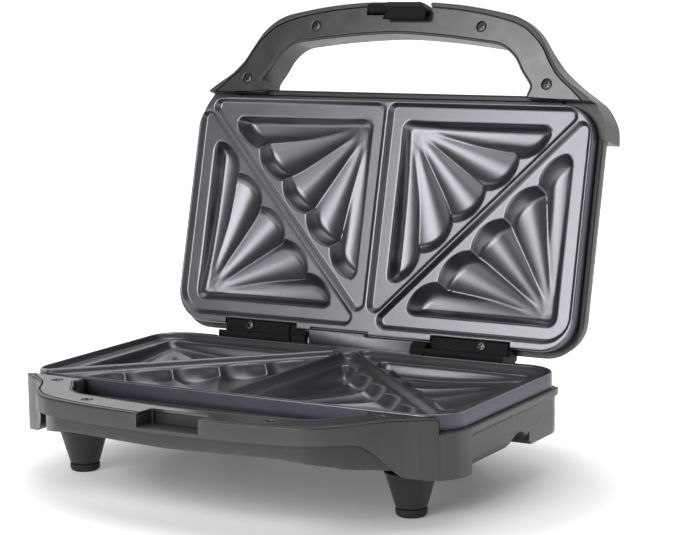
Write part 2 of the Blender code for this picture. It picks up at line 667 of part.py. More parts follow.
def make_handle_covers():
    lower = cover_form("base_handle_cover")
    combine(lower, [prism(recess_mouth(), -MM, 5 * MM)])
    upper = cover_form("lid_handle_cover")
    combine(upper, [prism(latch_slot(), -MM, 5 * MM)])
    return lower, upper


def make_screw(name, u, s, seat):
    """A pan head with a shank; its head lies on a seat at that depth."""
    head = [(0, 0.55 * MM), (0.6 * SCREW_HEAD, 0.55 * MM), (SCREW_HEAD, 0.3 * MM), (SCREW_HEAD, 0),
            (SCREW_SHANK, 0), (SCREW_SHANK, -SCREW_LENGTH), (0, -SCREW_LENGTH)]
    return turned(head, at(u, s, seat - GAP), (0, 0, 1), 10, name)


def make_latch():
    """The clip, its origin on its pivot: a bar, and a tongue with a toe that points to the hinge."""
    pivot_s, pivot_d = LATCH_PIVOT

    def local(profile):
        return [(s * MM - pivot_s, d * MM - pivot_d) for s, d in profile]

    latch = across(local(LATCH_BAR_PROFILE), -LATCH_BAR_HALF, LATCH_BAR_HALF, "latch")
    combine(latch, [across(local(LATCH_TONGUE_PROFILE), *LATCH_TONGUE)], "UNION")
    bore = rod(at(-40 * MM, 0, 0), (1, 0, 0), LATCH_PIN_RADIUS + GAP, 80 * MM, 12)
    near, far = -SPRING_ROOM, SPRING_ROOM
    profile = [(-9 * MM, near), (far, near), (far, 9 * MM), (-9 * MM, 9 * MM)]
    room = across(profile, -SPRING_ROOM_HALF, SPRING_ROOM_HALF)
    return combine(latch, [bore, room])


def make_latch_spring():
    """The coil round the latch pin, inside the bar."""
    radius = LATCH_PIN_RADIUS + GAP + SPRING_WIRE
    s, d = LATCH_PIVOT
    points = []
    for k in range(SPRING_TURNS * 9 + 1):
        angle = math.tau * k / 9
        u = SPRING_HALF * (2 * k / (SPRING_TURNS * 9) - 1)
        points.append(at(u, s + radius * math.cos(angle), d + radius * math.sin(angle)))
    return tube(points, SPRING_WIRE, "latch_spring")


def make_feet():
    feet = []
    for end, (u, s) in (("front", FRONT_FOOT), ("rear", REAR_FOOT)):
        for side, hand in ((1, "right"), (-1, "left")):
            top = BASE_FLOOR + GAP
            tip = HINGE_HEIGHT - PAD_HEIGHT - GAP
            height = tip - top
            cone = [(0, 0), (FOOT_TOP_RADIUS, 0), (FOOT_TIP_RADIUS, -height), (0, -height)]
            feet.append(turned(cone, at(side * u, s, top), (0, 0, 1), 24, f"foot_{end}_{hand}"))
            round_off = arc((PAD_RADIUS - 2 * MM, 2 * MM), 2 * MM, -90, 0, 2)
            pad = [(0, 0)] + round_off + [(PAD_RADIUS, PAD_HEIGHT), (0, PAD_HEIGHT)]
            feet.append(turned(pad, at(side * u, s, HINGE_HEIGHT), (0, 0, 1), 20, f"foot_pad_{end}_{hand}"))
    return feet


def make_element(name):
    """The sheathed heating rod under a plate, with its two ends turned down at the rear."""
    rear, front = ELEMENT_ENDS
    loop = rectangle(ELEMENT_SIDE, rear, front, ELEMENT_CORNER, 4)
    depth = ELEMENT_DEPTH
    path = [at(u, s, depth) for u, s in loop]
    ends = [[at(side * TERMINAL_HALF, rear, depth + TERMINAL_DROP),
             at(side * TERMINAL_HALF, rear, depth + TERMINAL_BEND),
             at(side * (TERMINAL_HALF + TERMINAL_BEND), rear, depth)] for side in (1, -1)]
    return tube(ends[0] + path + ends[1][::-1], ELEMENT_RADIUS, name)


def make_reflector(name):
    sheet = rectangle(PLATE_HALF - PLATE_WALL - REFLECTOR_INSET, *REFLECTOR_ENDS, REFLECTOR_CORNER, 4)
    lower = REFLECTOR_LEDGE - GAP
    return prism(sheet, lower - REFLECTOR_THICK, lower, name)


def make_inner_pieces():
    """What the base holds under its plate and its reflector."""
    web = SHELF_DEPTH + PLATE_WALL + GAP
    wide, narrow, (step, low) = THERMOSTAT_RADIUS, THERMOSTAT_STEM, THERMOSTAT_HEIGHTS
    body = [(0, 0), (wide, 0), (wide, -step), (narrow, -step), (narrow, -low), (0, -low)]
    thermostat = turned(body, at(*THERMOSTAT_SPOT, web), (0, 0, 1), 20, "thermostat")
    capsule = [(0, 0), (FUSE_LEAD, 0), (FUSE_LEAD, 3 * MM), (FUSE_RADIUS, 4 * MM), (FUSE_RADIUS, 12 * MM),
               (FUSE_LEAD, 13 * MM), (FUSE_LEAD, 16 * MM), (0, 16 * MM)]
    fuse = turned(capsule, at(0, FUSE_START, web + FUSE_RADIUS), (0, -1, 0), 12, "thermal_fuse")
    floor = BASE_FLOOR - CASE_WALL - GAP
    rear = LOWER_ROOM_ENDS[0] + REFLECTOR_INSET
    length, height = TERMINAL_BLOCK_SIZE
    front = rear + length
    left, right = TERMINAL_BLOCK
    corners = [(left, rear), (right, rear), (right, front), (left, front)]
    block = prism(rounded(corners, MM, 2), floor - height, floor, "terminal_block")
    slots = []
    for u in TERMINAL_SLOTS:
        slot = [(u, rear - MM), (u + MM, rear - MM), (u + MM, front + MM), (u, front + MM)]
        slots.append(prism(slot, floor - height - MM, floor - 6 * MM))
    combine(block, slots)
    return [thermostat, fuse, block]


def make_inlet():
    """The bush in the rear wall that the mains lead goes through."""
    u, d = INLET_SPOT
    wall = CASE_REAR + CASE_LIP
    profile = [(0, 0), (INLET_RADIUS, 0), (INLET_RADIUS, 8 * MM), (INLET_RADIUS + 2 * MM, 8 * MM + GAP),
               (INLET_RADIUS + 1.2 * MM, 10.5 * MM), (0, 10.5 * MM)]
    bush = turned(profile, at(u, wall + 8 * MM, d), (0, 1, 0), 16, "cord_inlet")
    return combine(bush, [rod(at(u, wall + 9 * MM, d), (0, 1, 0), INLET_BORE, 14 * MM)])


def make_hinge_pieces():
    pieces = {"base": [], "lid": []}
    for side, hand in ((1, "right"), (-1, "left")):
        start, end = EAR_SPAN[0], ARM_SPAN[0] + PIN_BITE
        pin = rod(at(side * start, 0, 0), (side, 0, 0), PIN_RADIUS, end - start, 16, f"hinge_pin_{hand}")
        pieces["base"].append(pin)
        span = [side * (u + shift) for u, shift in zip(ARM_SPAN, (5 * MM, -MM))]
        cover = across([(2.1 * MM, 0.0), (NOTCH_FRONT - GAP, 0.0), (NOTCH_FRONT - GAP, HINGE_COVER_THICK),
                        (2.1 * MM, HINGE_COVER_THICK)], *span, f"hinge_cover_{hand}")
        u, s = HINGE_COVER_SPOT
        combine(cover, [rod(at(side * u, s, -MM), (0, 0, -1), SCREW_SHANK + GAP, 5 * MM, 12)])
        screw = make_screw(f"hinge_cover_screw_{hand}", side * u, s, 0.0)
        pieces["lid"] += [cover, screw]
    return pieces


def make_lamps():
    lamps = []
    for (u, s), colour in zip(LENS_SPOTS, ("red", "green")):
        lens = [(0, -0.6 * MM), (LENS_RADIUS * 0.7, -0.3 * MM), (LENS_RADIUS, 0.2 * MM),
                (LENS_RADIUS, LENS_DEPTH), (0, LENS_DEPTH)]
        lamps.append(turned(lens, at(u, s, LID_TOP), (0, 0, 1), 16, f"{colour}_lens"))
        bulb = [(0, 0), (LAMP_RADIUS, 0), (LAMP_RADIUS, 4.5 * MM), (1.2 * MM, 6 * MM), (0, 6.4 * MM)]
        place = at(u, s, LID_TOP - LENS_DEPTH - GAP)
        lamps.append(turned(bulb, place, (0, 0, 1), 12, f"{colour}_lamp"))
    return lamps


# Materials


def finish(name, colour, metallic, roughness):
    material = bpy.data.materials.new(name)
    material.use_nodes = True
    shader = material.node_tree.nodes["Principled BSDF"]
    shader.inputs["Base Color"].default_value = (*colour, 1)
    shader.inputs["Metallic"].default_value = metallic
    shader.inputs["Roughness"].default_value = roughness
    return material


FINISHES = {
    "housing": finish("housing_plastic", (0.07, 0.07, 0.075), 0.0, 0.4),
    "black": finish("black_plastic", (0.012, 0.012, 0.013), 0.0, 0.4),
    "plate": finish("coated_plate", (0.17, 0.16, 0.18), 0.6, 0.4),
    "steel": finish("steel", (0.6, 0.6, 0.6), 1.0, 0.3),
    "sheet": finish("aluminium_sheet", (0.75, 0.75, 0.75), 1.0, 0.35),
    "rubber": finish("rubber", (0.02, 0.02, 0.02), 0.0, 0.8),
    "red": finish("red_lens", (0.6, 0.02, 0.02), 0.0, 0.15),
    "green": finish("green_lens", (0.02, 0.5, 0.08), 0.0, 0.15),
}


def finish_of(name):
    """The finish that a part's name calls for."""
    for word, key in (("screw", "steel"), ("pad", "rubber"), ("plate", "plate"), ("pin", "steel"),
                      ("element", "steel"), ("reflector", "sheet"), ("red_lens", "red"),
                      ("green_lens", "green"), ("housing", "housing"), ("handle_cover", "housing"),
                      ("thermal", "sheet"), ("spring", "steel")):
        if word in name:
            return FINISHES[key]
    return FINISHES["black"]


def keep(thing, holder):
    """Puts a finished piece among the parts, on what carries it."""
    CUTTERS.objects.unlink(thing)
    PARTS.objects.link(thing)
    thing.hide_render = False
    thing.display_type = "TEXTURED"
    thing.parent = holder
    thing.data.materials.clear()
    thing.data.materials.append(finish_of(thing.name))
    thing.data.shade_smooth()
    thing.data.set_sharp_from_angle(angle=math.radians(35))


def make_holder(name, matrix, parent=None):
    holder = bpy.data.objects.new(name, None)
    bpy.context.scene.collection.objects.link(holder)
    holder.parent = parent
    holder.matrix_local = matrix
    return holder


def main():
    hinge = Matrix.Translation((0, HINGE_BACK, HINGE_HEIGHT))
    base = make_holder("base_frame", hinge)
    tipped = Matrix.Rotation(-OPEN_ANGLE, 4, "X") @ Matrix.Rotation(math.pi, 4, "Y")
    lid = make_holder("lid_frame", hinge @ tipped)
    pivot = make_holder("latch_frame", Matrix.Translation(at(0, *LATCH_PIVOT)), lid)

    cavity = shell_form(0.0, 18)
    tub = shell_form(SHELL_WALL, 12)
    lower_plate = make_plate("lower_plate", cavity, tub)
    upper_plate = make_plate("upper_plate", cavity, tub)
    for used in (cavity, tub):
        bpy.data.objects.remove(used)
    combine(lower_plate, [rear_guard()], "UNION")
    near, far = -GUARD_TALL_END - GUARD_CLEARANCE, GUARD_HALF + GUARD_CLEARANCE
    front = math.hypot(GUARD_TALL_TOP, GUARD_FRONT) + 2 * GAP
    shallow = [(near, 0), (far, 0), (far, front), (near, front)]
    combine(upper_plate, [prism(shallow, -MM, PLATE_DEPTH + MM)])

    base_cover, lid_cover = make_handle_covers()
    hinge_pieces = make_hinge_pieces()
    base_pieces = [make_base_housing(), base_cover, lower_plate, make_element("lower_element"),
                   make_reflector("lower_reflector"), make_inlet()]
    base_pieces += make_inner_pieces() + make_feet() + hinge_pieces["base"]
    lid_pieces = [make_lid_housing(), lid_cover, upper_plate, make_element("upper_element"),
                  make_reflector("upper_reflector")] + hinge_pieces["lid"] + make_lamps()
    for half, pieces in (("base", base_pieces), ("lid", lid_pieces)):
        for end, (u, s) in zip(("front", "rear"), SCREW_SPOTS):
            for side, hand in ((1, "right"), (-1, "left")):
                name = f"{half}_handle_screw_{end}_{hand}"
                pieces.append(make_screw(name, side * u, s, PARTING_GAP + SINK_DEPTH))
    start = at(-LATCH_PIN_HALF, *LATCH_PIVOT)
    lid_pieces.append(rod(start, (1, 0, 0), LATCH_PIN_RADIUS, 2 * LATCH_PIN_HALF, 12, "latch_pin"))
    lid_pieces.append(make_latch_spring())
    for piece in base_pieces:
        keep(piece, base)
    for piece in lid_pieces:
        keep(piece, lid)
    keep(make_latch(), pivot)


main()
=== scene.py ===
"""The looks of an open sandwich toaster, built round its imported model, in metres.

The plates, the casings with their handles and the fittings are modelled again here as finer
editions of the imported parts. As in the source, each half is made in a half frame whose origin is
the middle of the hinge axis, and a point there is (u, s, d): u to the right, s ahead of the hinge
and d below the parting plane.
"""

import math

import bmesh
import bpy
import numpy as np
from mathutils import Matrix, Vector


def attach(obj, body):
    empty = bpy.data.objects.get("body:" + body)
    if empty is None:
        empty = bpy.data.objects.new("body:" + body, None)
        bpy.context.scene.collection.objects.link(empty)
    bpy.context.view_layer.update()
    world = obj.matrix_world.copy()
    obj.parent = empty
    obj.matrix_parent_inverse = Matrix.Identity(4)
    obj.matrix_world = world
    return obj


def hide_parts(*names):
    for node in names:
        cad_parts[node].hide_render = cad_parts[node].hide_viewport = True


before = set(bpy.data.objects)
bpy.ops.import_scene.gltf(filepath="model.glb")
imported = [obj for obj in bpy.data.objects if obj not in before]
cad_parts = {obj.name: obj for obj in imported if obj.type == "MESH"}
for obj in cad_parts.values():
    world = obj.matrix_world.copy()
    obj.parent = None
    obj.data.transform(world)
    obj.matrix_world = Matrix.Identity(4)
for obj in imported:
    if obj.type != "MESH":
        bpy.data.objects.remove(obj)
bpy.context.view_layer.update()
scene = bpy.context.scene

MM = 0.001

# The place of each half
OPEN_ANGLE = math.radians(104.4)
HINGE_HEIGHT = 60.2 * MM
HINGE_BACK = 71.4 * MM
HINGE = Matrix.Translation((0, HINGE_BACK, HINGE_HEIGHT))
HALF_FRAMES = {
    "base": HINGE,
    "lid": HINGE @ Matrix.Rotation(-OPEN_ANGLE, 4, "X") @ Matrix.Rotation(math.pi, 4, "Y"),
}

# Plates, in mm
PLATE_HALF = 140.0
PLATE_REAR = 6.35
PLATE_FRONT = 155.1
PLATE_CORNER = 21.0
PLATE_DEPTH = 10.7
PLATE_EDGE = 1.1
FACE_GAP = 0.12
WEB_DEPTH = 5.95
BLOCK_DEPTH = 16.9
SHELF_DEPTH = 3.55
SHELF_WALL = 2.0
RIM_SIDE = 1.6
RIM_ENDS = (11.6, 153.55)
CENTRE_RIB = (1.1, 3.5)
DIAGONAL_SLOPE = 1.037
DIAGONAL_START = 14.6
DIAGONAL_HALF = 0.75
POCKET_CORNER = 5.5
NOTCH_SPAN = (47.5, 101.5)
NOTCH_FRONT = 9.65
SHELL_OUTER = (127.8, 21.45)
SHELL_INNER = (10.93, 143.2)
FLUTES = 5
FLUTE_STEP = 20.4
FLUTE_FIRST = (0.85, 82.45)
FLUTE_AXES = (86.2, 69.1, 45.0, 20.9, 3.8)
FLUTE_SPREAD = 0.42
FLUTE_FADE = (3.0, 30.0)
FLUTE_DEPTHS = (3.6, 8.8)
FLUTE_RUN = 80.0
SCOOP_RADIUS = 20.3
SCOOP_RUN = 12.0
SCOOP_DEPTH = 10.5
APEX_INSET = 4.0
LEG_WALL = 5.2
SHELL_SCALES = {True: (1.018, 0.98), False: (1.012, 1.0)}

# Casings, in mm
GAP = 0.3
PARTING_GAP = 0.5
CASE_HALF = 143.6
CASE_REAR = 3.0
CASE_FRONT = 161.5
CASE_CORNER = 24.0
CASE_WALL = 2.2
BASE_FLOOR = 34.5
LID_TOP = 33.5
LEDGE_DEPTH = 11.0
LIP_TOP = 9.2
LIP_LEVELS = [(1.3, LIP_TOP), (0.65, 9.35), (0.2, 9.8), (0, 10.5), (0, 12.6), (0.25, 13.3), (0.9, 13.9),
              (1.7, 14.3), (2.0, 14.9)]
REFLECTOR_LEDGE = 18.25
LOWER_ROOM_HALF = 121.0
LOWER_ROOM_ENDS = (17.0, 146.0)
LEG_PROFILE = [(14.0, 24.0), (14.0, 32.5), (17.0, 35.6), (55.0, 35.6), (57.8, 33.0), (57.8, 26.0)]
EASE = 0.35

# Handles, in mm: half outlines from the shoulder to the middle, as (u, s)
HANDLE_OUTLINE = [
    (144.3, 135.9), (142.6, 146.9), (136.1, 157.8), (128.4, 164.0), (119.2, 170.3), (111.0, 178.6),
    (104.8, 188.4), (97.0, 199.3), (86.0, 207.4), (71.4, 211.5), (40.6, 216.3), (0.0, 218.4),
]
COVER_OUTLINE = [
    (130.3, 158.2), (122.6, 165.0), (113.9, 172.2), (107.2, 180.9), (102.3, 189.1), (96.6, 195.4),
    (86.9, 202.7), (69.5, 208.3), (40.6, 213.1), (0.0, 215.7),
]
OPENING_OUTLINE = [
    (95.1, 159.2), (97.1, 164.3), (96.5, 167.8), (90.5, 175.6), (84.3, 184.9), (74.1, 191.9),
    (60.0, 194.3), (33.3, 197.2), (0.0, 199.1),
]
SHOULDER_DEPTHS = [
    (97.0, 10.5), (104.8, 12.0), (111.0, 20.0), (119.0, 30.5), (128.4, 33.0), (136.0, 34.0), (150.0, 34.5),
]
CORE_DEPTHS = [(0.0, 19.5), (60.0, 19.0), (90.0, 22.5), (99.0, 25.5), (118.0, 28.5), (150.0, 29.5)]
CORE_OUTLINE = [
    (141.7, 135.9), (140.1, 146.0), (134.0, 156.0), (126.8, 161.9), (117.4, 168.3), (108.3, 176.2),
    (100.6, 185.9), (93.3, 195.3), (83.7, 202.5), (70.3, 206.1), (40.0, 210.8), (0.0, 212.9),
]
HANDLE_LIP = 1.7
HANDLE_REAR = 157.7
MOUTH_HALF = 94.4
MOUTH_FRONT = 165.7
GROOVE_HALF = 116.0
GROOVE_FRONT = 158.0
COVER_THICK = 1.5
SEAM = 0.35
SCREW_SPOTS = [(58.9, 202.4), (106.7, 167.3)]
SCREW_HEAD = 2.9
SCREW_SHANK = 1.3
SCREW_LENGTH = 9.0
SINK_DEPTH = 1.0

# Hinge, latch and fittings, in mm
EAR_SPAN = (37.5, 47.3)
EAR_RADIUS = 6.0
ARM_SPAN = (47.9, 101.1)
ARM_RADIUS = 7.0
ARM_DEPTH = 13.0
PIN_RADIUS = 2.0
HINGE_COVER_THICK = 1.5
HINGE_COVER_SPOT = (82.5, 6.1)
LATCH_PIVOT = (213.0, 7.5)
BAR_HALF = 22.0
LATCH_TONGUE = (-22.6, 7.5)
LATCH_PIN_RADIUS = 1.2
RECESS_SPAN = (-14.0, 24.0)
RECESS_REAR = 204.9
RECESS_DEPTH = 8.5
CATCH_UNDERCUT = 2.6
FEET = {"front": (109.6, 139.8), "rear": (78.0, 19.5)}
FOOT_TOP_RADIUS = 14.9
FOOT_TIP_RADIUS = 8.9
PAD_RADIUS = 8.8
PAD_HEIGHT = 4.7
INLET_SPOT = (105.0, 23.0)
INLET_RADIUS = 4.2
LENS_SPOTS = [(-9.0, 128.0), (9.0, 128.0)]
LENS_RADIUS = 3.4


# Camera


def make_camera():
    """The photograph's view: to the right of the front and a little above."""
    turn, pitch, roll = (math.radians(x) for x in (30.06, 8.55, -0.71))
    right = Vector((math.cos(turn), math.sin(turn), 0))
    ahead = Vector((-math.sin(turn) * math.cos(pitch), math.cos(turn) * math.cos(pitch), -math.sin(pitch)))
    up = right.cross(ahead)
    side = math.cos(roll) * right + math.sin(roll) * up
    top = math.cos(roll) * up - math.sin(roll) * right
    data = bpy.data.cameras.new("camera")
    data.sensor_width = 36
    data.lens = 106.8
    data.clip_start, data.clip_end = 0.05, 50
    camera = bpy.data.objects.new("camera", data)
    place = Matrix((side, top, -ahead)).transposed().to_4x4()
    place.translation = Vector((607.6, -1002.7, 294.95)) * MM
    camera.matrix_world = place
    scene.collection.objects.link(camera)
    scene.camera = camera


# Node helpers


class Nodes:
    """A small helper that adds nodes to a tree and links their inputs."""

    def __init__(self, tree):
        self.tree = tree

    def add(self, kind, **inputs):
        node = self.tree.nodes.new(kind)
        for name, value in inputs.items():
            if hasattr(node, name) and not name[0].isupper():
                setattr(node, name, value)
                continue
            socket = node.inputs[int(name[1:])] if name[0] == "_" else node.inputs[name.replace("_", " ")]
            if isinstance(value, bpy.types.NodeSocket):
                self.tree.links.new(value, socket)
            else:
                socket.default_value = value
        return node

    def math(self, operation, *values):
        node = self.tree.nodes.new("ShaderNodeMath")
        node.operation = operation
        for socket, value in zip(node.inputs, values):
            if isinstance(value, bpy.types.NodeSocket):
                self.tree.links.new(value, socket)
            else:
                socket.default_value = value
        return node.outputs[0]

    def ramp(self, fac, stops, interpolation="LINEAR"):
        node = self.tree.nodes.new("ShaderNodeValToRGB")
        node.color_ramp.interpolation = interpolation
        while len(node.color_ramp.elements) < len(stops):
            node.color_ramp.elements.new(0.5)
        for element, (position, value) in zip(node.color_ramp.elements, stops):
            element.position = position
            element.color = (*value, 1) if hasattr(value, "__len__") else (value, value, value, 1)
        self.tree.links.new(fac, node.inputs[0])
        return node.outputs[0]

    def noise(self, vector, scale, detail=2.0, roughness=0.5):
        return self.add("ShaderNodeTexNoise", Vector=vector, Scale=scale, Detail=detail,
                        Roughness=roughness).outputs[0]

    def link(self, out, into):
        self.tree.links.new(out, into)


def new_material(name, metallic=0.0, specular=0.5, coat=0.0, coat_roughness=0.2):
    material = bpy.data.materials.new(name)
    material.use_nodes = True
    nodes = Nodes(material.node_tree)
    shader = material.node_tree.nodes["Principled BSDF"]
    shader.inputs["Metallic"].default_value = metallic
    shader.inputs["Specular IOR Level"].default_value = specular
    shader.inputs["Coat Weight"].default_value = coat
    shader.inputs["Coat Roughness"].default_value = coat_roughness
    where = nodes.add("ShaderNodeTexCoord").outputs["Object"]
    return material, nodes, shader, where


def varied(nodes, fac, dark, light):
    """A colour between two, by a factor."""
    return nodes.ramp(fac, [(0.3, dark), (0.7, light)])


def painted_edge_highlight(nodes, low=0.51, high=0.56):
    """1 on convex edges, from the surface's pointiness: the mask of a painted highlight on edges."""
    point = nodes.add("ShaderNodeNewGeometry").outputs["Pointiness"]
    return nodes.ramp(point, [(low, 0.0), (high, 1.0)])


def moulded(name, dark, light, roughness, grain_scale, grain_height, specular=0.5, edge_highlight_colour=None):
    """Moulded plastic: a spark-eroded grain, faint flow marks, and convex edges made lighter by a painted
    highlight.
    """
    material, nodes, shader, where = new_material(name, specular=specular)
    flow = nodes.noise(where, 22.0, 3.0, 0.6)
    grain = nodes.noise(where, grain_scale, 3.0, 0.65)
    colour = varied(nodes, flow, dark, light)
    # Painted highlight: convex edges are mixed towards a lighter grey, as if they caught the light.
    if edge_highlight_colour:
        mix = nodes.add("ShaderNodeMix", data_type="RGBA")
        nodes.link(painted_edge_highlight(nodes), mix.inputs[0])
        nodes.link(colour, mix.inputs[6])
        mix.inputs[7].default_value = (*edge_highlight_colour, 1)
        colour = mix.outputs[2]
    nodes.link(colour, shader.inputs["Base Color"])
    spread = nodes.math("MULTIPLY_ADD", nodes.noise(where, 90.0, 2.0), 0.14, roughness - 0.07)
    nodes.link(spread, shader.inputs["Roughness"])
    bump = nodes.add("ShaderNodeBump", Strength=1.0, Distance=grain_height, Height=grain)
    nodes.link(bump.outputs[0], shader.inputs["Normal"])
    return material


def coated(name, dark, light, roughness):
    """Non-stick coating on cast aluminium: a satin metallic film with a fine orange peel."""
    material, nodes, shader, where = new_material(name, metallic=0.9, specular=0.5, coat=0.1,
                                                  coat_roughness=0.3)
    cloud = nodes.noise(where, 35.0, 3.0, 0.6)
    fleck = nodes.noise(where, 3200.0, 1.0, 0.5)
    tone = nodes.math("MULTIPLY_ADD", fleck, 0.35, nodes.math("MULTIPLY", cloud, 0.65))
    nodes.link(varied(nodes, tone, dark, light), shader.inputs["Base Color"])
    nodes.link(nodes.math("MULTIPLY_ADD", cloud, 0.08, roughness - 0.04), shader.inputs["Roughness"])
    peel = nodes.noise(where, 900.0, 2.0, 0.5)
    bump = nodes.add("ShaderNodeBump", Strength=0.5, Distance=0.00006, Height=peel)
    nodes.link(bump.outputs[0], shader.inputs["Normal"])
    return material


def metal(name, colour, roughness, scale=400.0, streak=None):
    material, nodes, shader, where = new_material(name, metallic=1.0)
    vector = where
    if streak:
        vector = nodes.add("ShaderNodeMapping", Vector=where, Scale=streak).outputs[0]
    grain = nodes.noise(vector, scale, 3.0, 0.6)
    dark = tuple(0.86 * c for c in colour)
    nodes.link(varied(nodes, grain, dark, colour), shader.inputs["Base Color"])
    nodes.link(nodes.math("MULTIPLY_ADD", grain, 0.16, roughness - 0.08), shader.inputs["Roughness"])
    bump = nodes.add("ShaderNodeBump", Strength=0.4, Distance=0.00004, Height=grain)
    nodes.link(bump.outputs[0], shader.inputs["Normal"])
    return material


def lens(name, colour):
    """Tinted clear plastic with fine ribs inside."""
    material, nodes, shader, where = new_material(name, coat=0.4, coat_roughness=0.05)
    ribs = nodes.add("ShaderNodeTexWave", Vector=where, Scale=260.0, Distortion=0.4).outputs[0]
    nodes.link(varied(nodes, ribs, tuple(0.7 * c for c in colour), colour), shader.inputs["Base Color"])
    shader.inputs["Roughness"].default_value = 0.12
    shader.inputs["Transmission Weight"].default_value = 0.35
    bump = nodes.add("ShaderNodeBump", Strength=0.3, Distance=0.0001, Height=ribs)
    nodes.link(bump.outputs[0], shader.inputs["Normal"])
    return material


MATERIALS = {
    # The housing's lighter convex edges are a painted highlight.
    "housing": moulded("housing_plastic", (0.028, 0.028, 0.029), (0.034, 0.034, 0.035), 0.38, 1500.0,
                       0.00004, edge_highlight_colour=(0.085, 0.085, 0.086)),
    "face": moulded("handle_face_plastic", (0.026, 0.026, 0.026), (0.032, 0.032, 0.032), 0.24, 1700.0,
                    0.00001, specular=1.0),
    "black": moulded("black_plastic", (0.008, 0.008, 0.009), (0.011, 0.011, 0.012), 0.55, 1500.0, 0.00003,
                     specular=0.12),
    "rubber": moulded("foot_rubber", (0.014, 0.014, 0.014), (0.020, 0.020, 0.020), 0.78, 2600.0, 0.00006),
    "plate": coated("coated_plate", (0.150, 0.146, 0.162), (0.172, 0.168, 0.184), 0.31),
    # The skirt finish is a darker, bluer copy of the plate coating: painted shade on the plate's sides.
    "skirt": coated("coated_skirt_painted_shade", (0.086, 0.086, 0.116), (0.102, 0.102, 0.132), 0.42),
    "foot": moulded("foot_plastic", (0.022, 0.022, 0.023), (0.028, 0.028, 0.029), 0.45, 1500.0, 0.00004),
    "steel": metal("zinc_steel", (0.62, 0.61, 0.59), 0.30),
    "screw": metal("blackened_steel", (0.10, 0.10, 0.10), 0.38),
    "sheet": metal("aluminium_sheet", (0.80, 0.80, 0.80), 0.34, 160.0, (1.0, 14.0, 1.0)),
    "red": lens("red_lens", (0.62, 0.02, 0.02)),
    "green": lens("green_lens", (0.02, 0.45, 0.08)),
}


def use(thing, key):
    """Gives an object one finish, unless its maker gave it two."""
    slots = thing.data.materials
    if not slots:
        slots.append(MATERIALS[key])
    elif len(slots) == 1:
        slots[0] = MATERIALS[key]
    return thing


# Plates


def smooth_max(a, b, k):
    """The larger of two fields, with a fillet of about k between them."""
    h = np.clip(0.5 + 0.5 * (a - b) / k, 0, 1)
    return b + (a - b) * h + k * h * (1 - h)


def smooth_min(a, b, k):
    return -smooth_max(-a, -b, k)


def inside(x, s, lines, radius):
    """How far a point is inside a triangle with rounded corners, from its edges (nx, ns, c)."""
    gaps = [nx * x + ns * s + c for nx, ns, c in lines]
    depth = np.minimum(np.minimum(gaps[0], gaps[1]), gaps[2])
    for i in range(3):
        j = (i + 1) % 3
        cosine = lines[i][0] * lines[j][0] + lines[i][1] * lines[j][1]
        m, n = radius - gaps[i], radius - gaps[j]
        corner = (m - n * cosine > 0) & (n - m * cosine > 0)
        reach = np.sqrt(np.maximum(m * m + n * n - 2 * m * n * cosine, 0) / (1 - cosine * cosine))
        depth = np.where(corner, np.minimum(depth, radius - reach), depth)
    return depth


def pocket_lines(outer):
    """The three edges of a pocket at the rim, over (|x|, s)."""
    length = math.hypot(1, DIAGONAL_SLOPE)
    slope = (DIAGONAL_SLOPE / length, -1 / length)
    offset = (DIAGONAL_START - CENTRE_RIB[1] * DIAGONAL_SLOPE) / length
    if outer:
        return [(0, 1, -RIM_ENDS[0]), (-1, 0, PLATE_HALF - RIM_SIDE), (*slope, offset - DIAGONAL_HALF)]
    return [(0, -1, RIM_ENDS[1]), (1, 0, -CENTRE_RIB[0]), (-slope[0], -slope[1], -offset - DIAGONAL_HALF)]


def ramp_step(t, w):
    """From 0 to 1 with straight flanks and rounded ends."""
    def bent(v):
        return np.where(v < -w, 0, np.where(v > w, v, (v + w) ** 2 / (4 * w)))
    return bent(t) - bent(t - 1)


def flute_depth(a, b, k):
    """How deep a flute reaches below the shelf: a trough that fans out from the apex to a round end."""
    axis = math.radians(FLUTE_AXES[k])
    ahead, aside = (math.cos(axis), math.sin(axis)), (-math.sin(axis), math.cos(axis))
    pa, pb = a - APEX_INSET, b - APEX_INSET
    out = np.hypot(pa, pb)
    across_it = pa * aside[0] + pb * aside[1]
    bow = FLUTE_SPREAD * np.maximum(out, 2.0)
    lift = bow - np.sqrt(np.maximum(bow ** 2 - across_it ** 2, 0))
    lift += 2 * np.maximum(np.abs(across_it) - bow, 0)
    start, full = FLUTE_FADE
    fade = np.clip((out - start) / (full - start), 0, 1)
    lift *= fade * fade * (3 - 2 * fade)
    low, high = FLUTE_DEPTHS
    trough = high - (high - low) * (1 - np.minimum(out / FLUTE_RUN, 1)) ** 2 - lift
    ea, eb = a - FLUTE_FIRST[0] - FLUTE_STEP * k, b - FLUTE_FIRST[1] + FLUTE_STEP * k
    along_it = ea * ahead[0] + eb * ahead[1]
    reach = np.where(along_it > 0, np.hypot(ea, eb), np.abs(ea * aside[0] + eb * aside[1]))
    within = SCOOP_RADIUS - reach
    bend = 1 - np.clip(within / SCOOP_RUN, 0, 1)
    scoop = SCOOP_DEPTH * (1 - bend ** 2) + np.minimum(within, 0) * 2 * SCOOP_DEPTH / SCOOP_RUN
    deep = smooth_min(trough, scoop, 1.6)
    if k in (0, FLUTES - 1):
        deep = smooth_min(deep, corner_gap(a if k == 0 else b, within, 6.5) * 3, 0.8)
    return deep


def corner_gap(one, other, radius):
    """The distance to two edges that meet in a rounded corner."""
    near = (one < radius) & (other < radius)
    return np.where(near, radius - np.hypot(radius - one, radius - other), np.minimum(one, other))


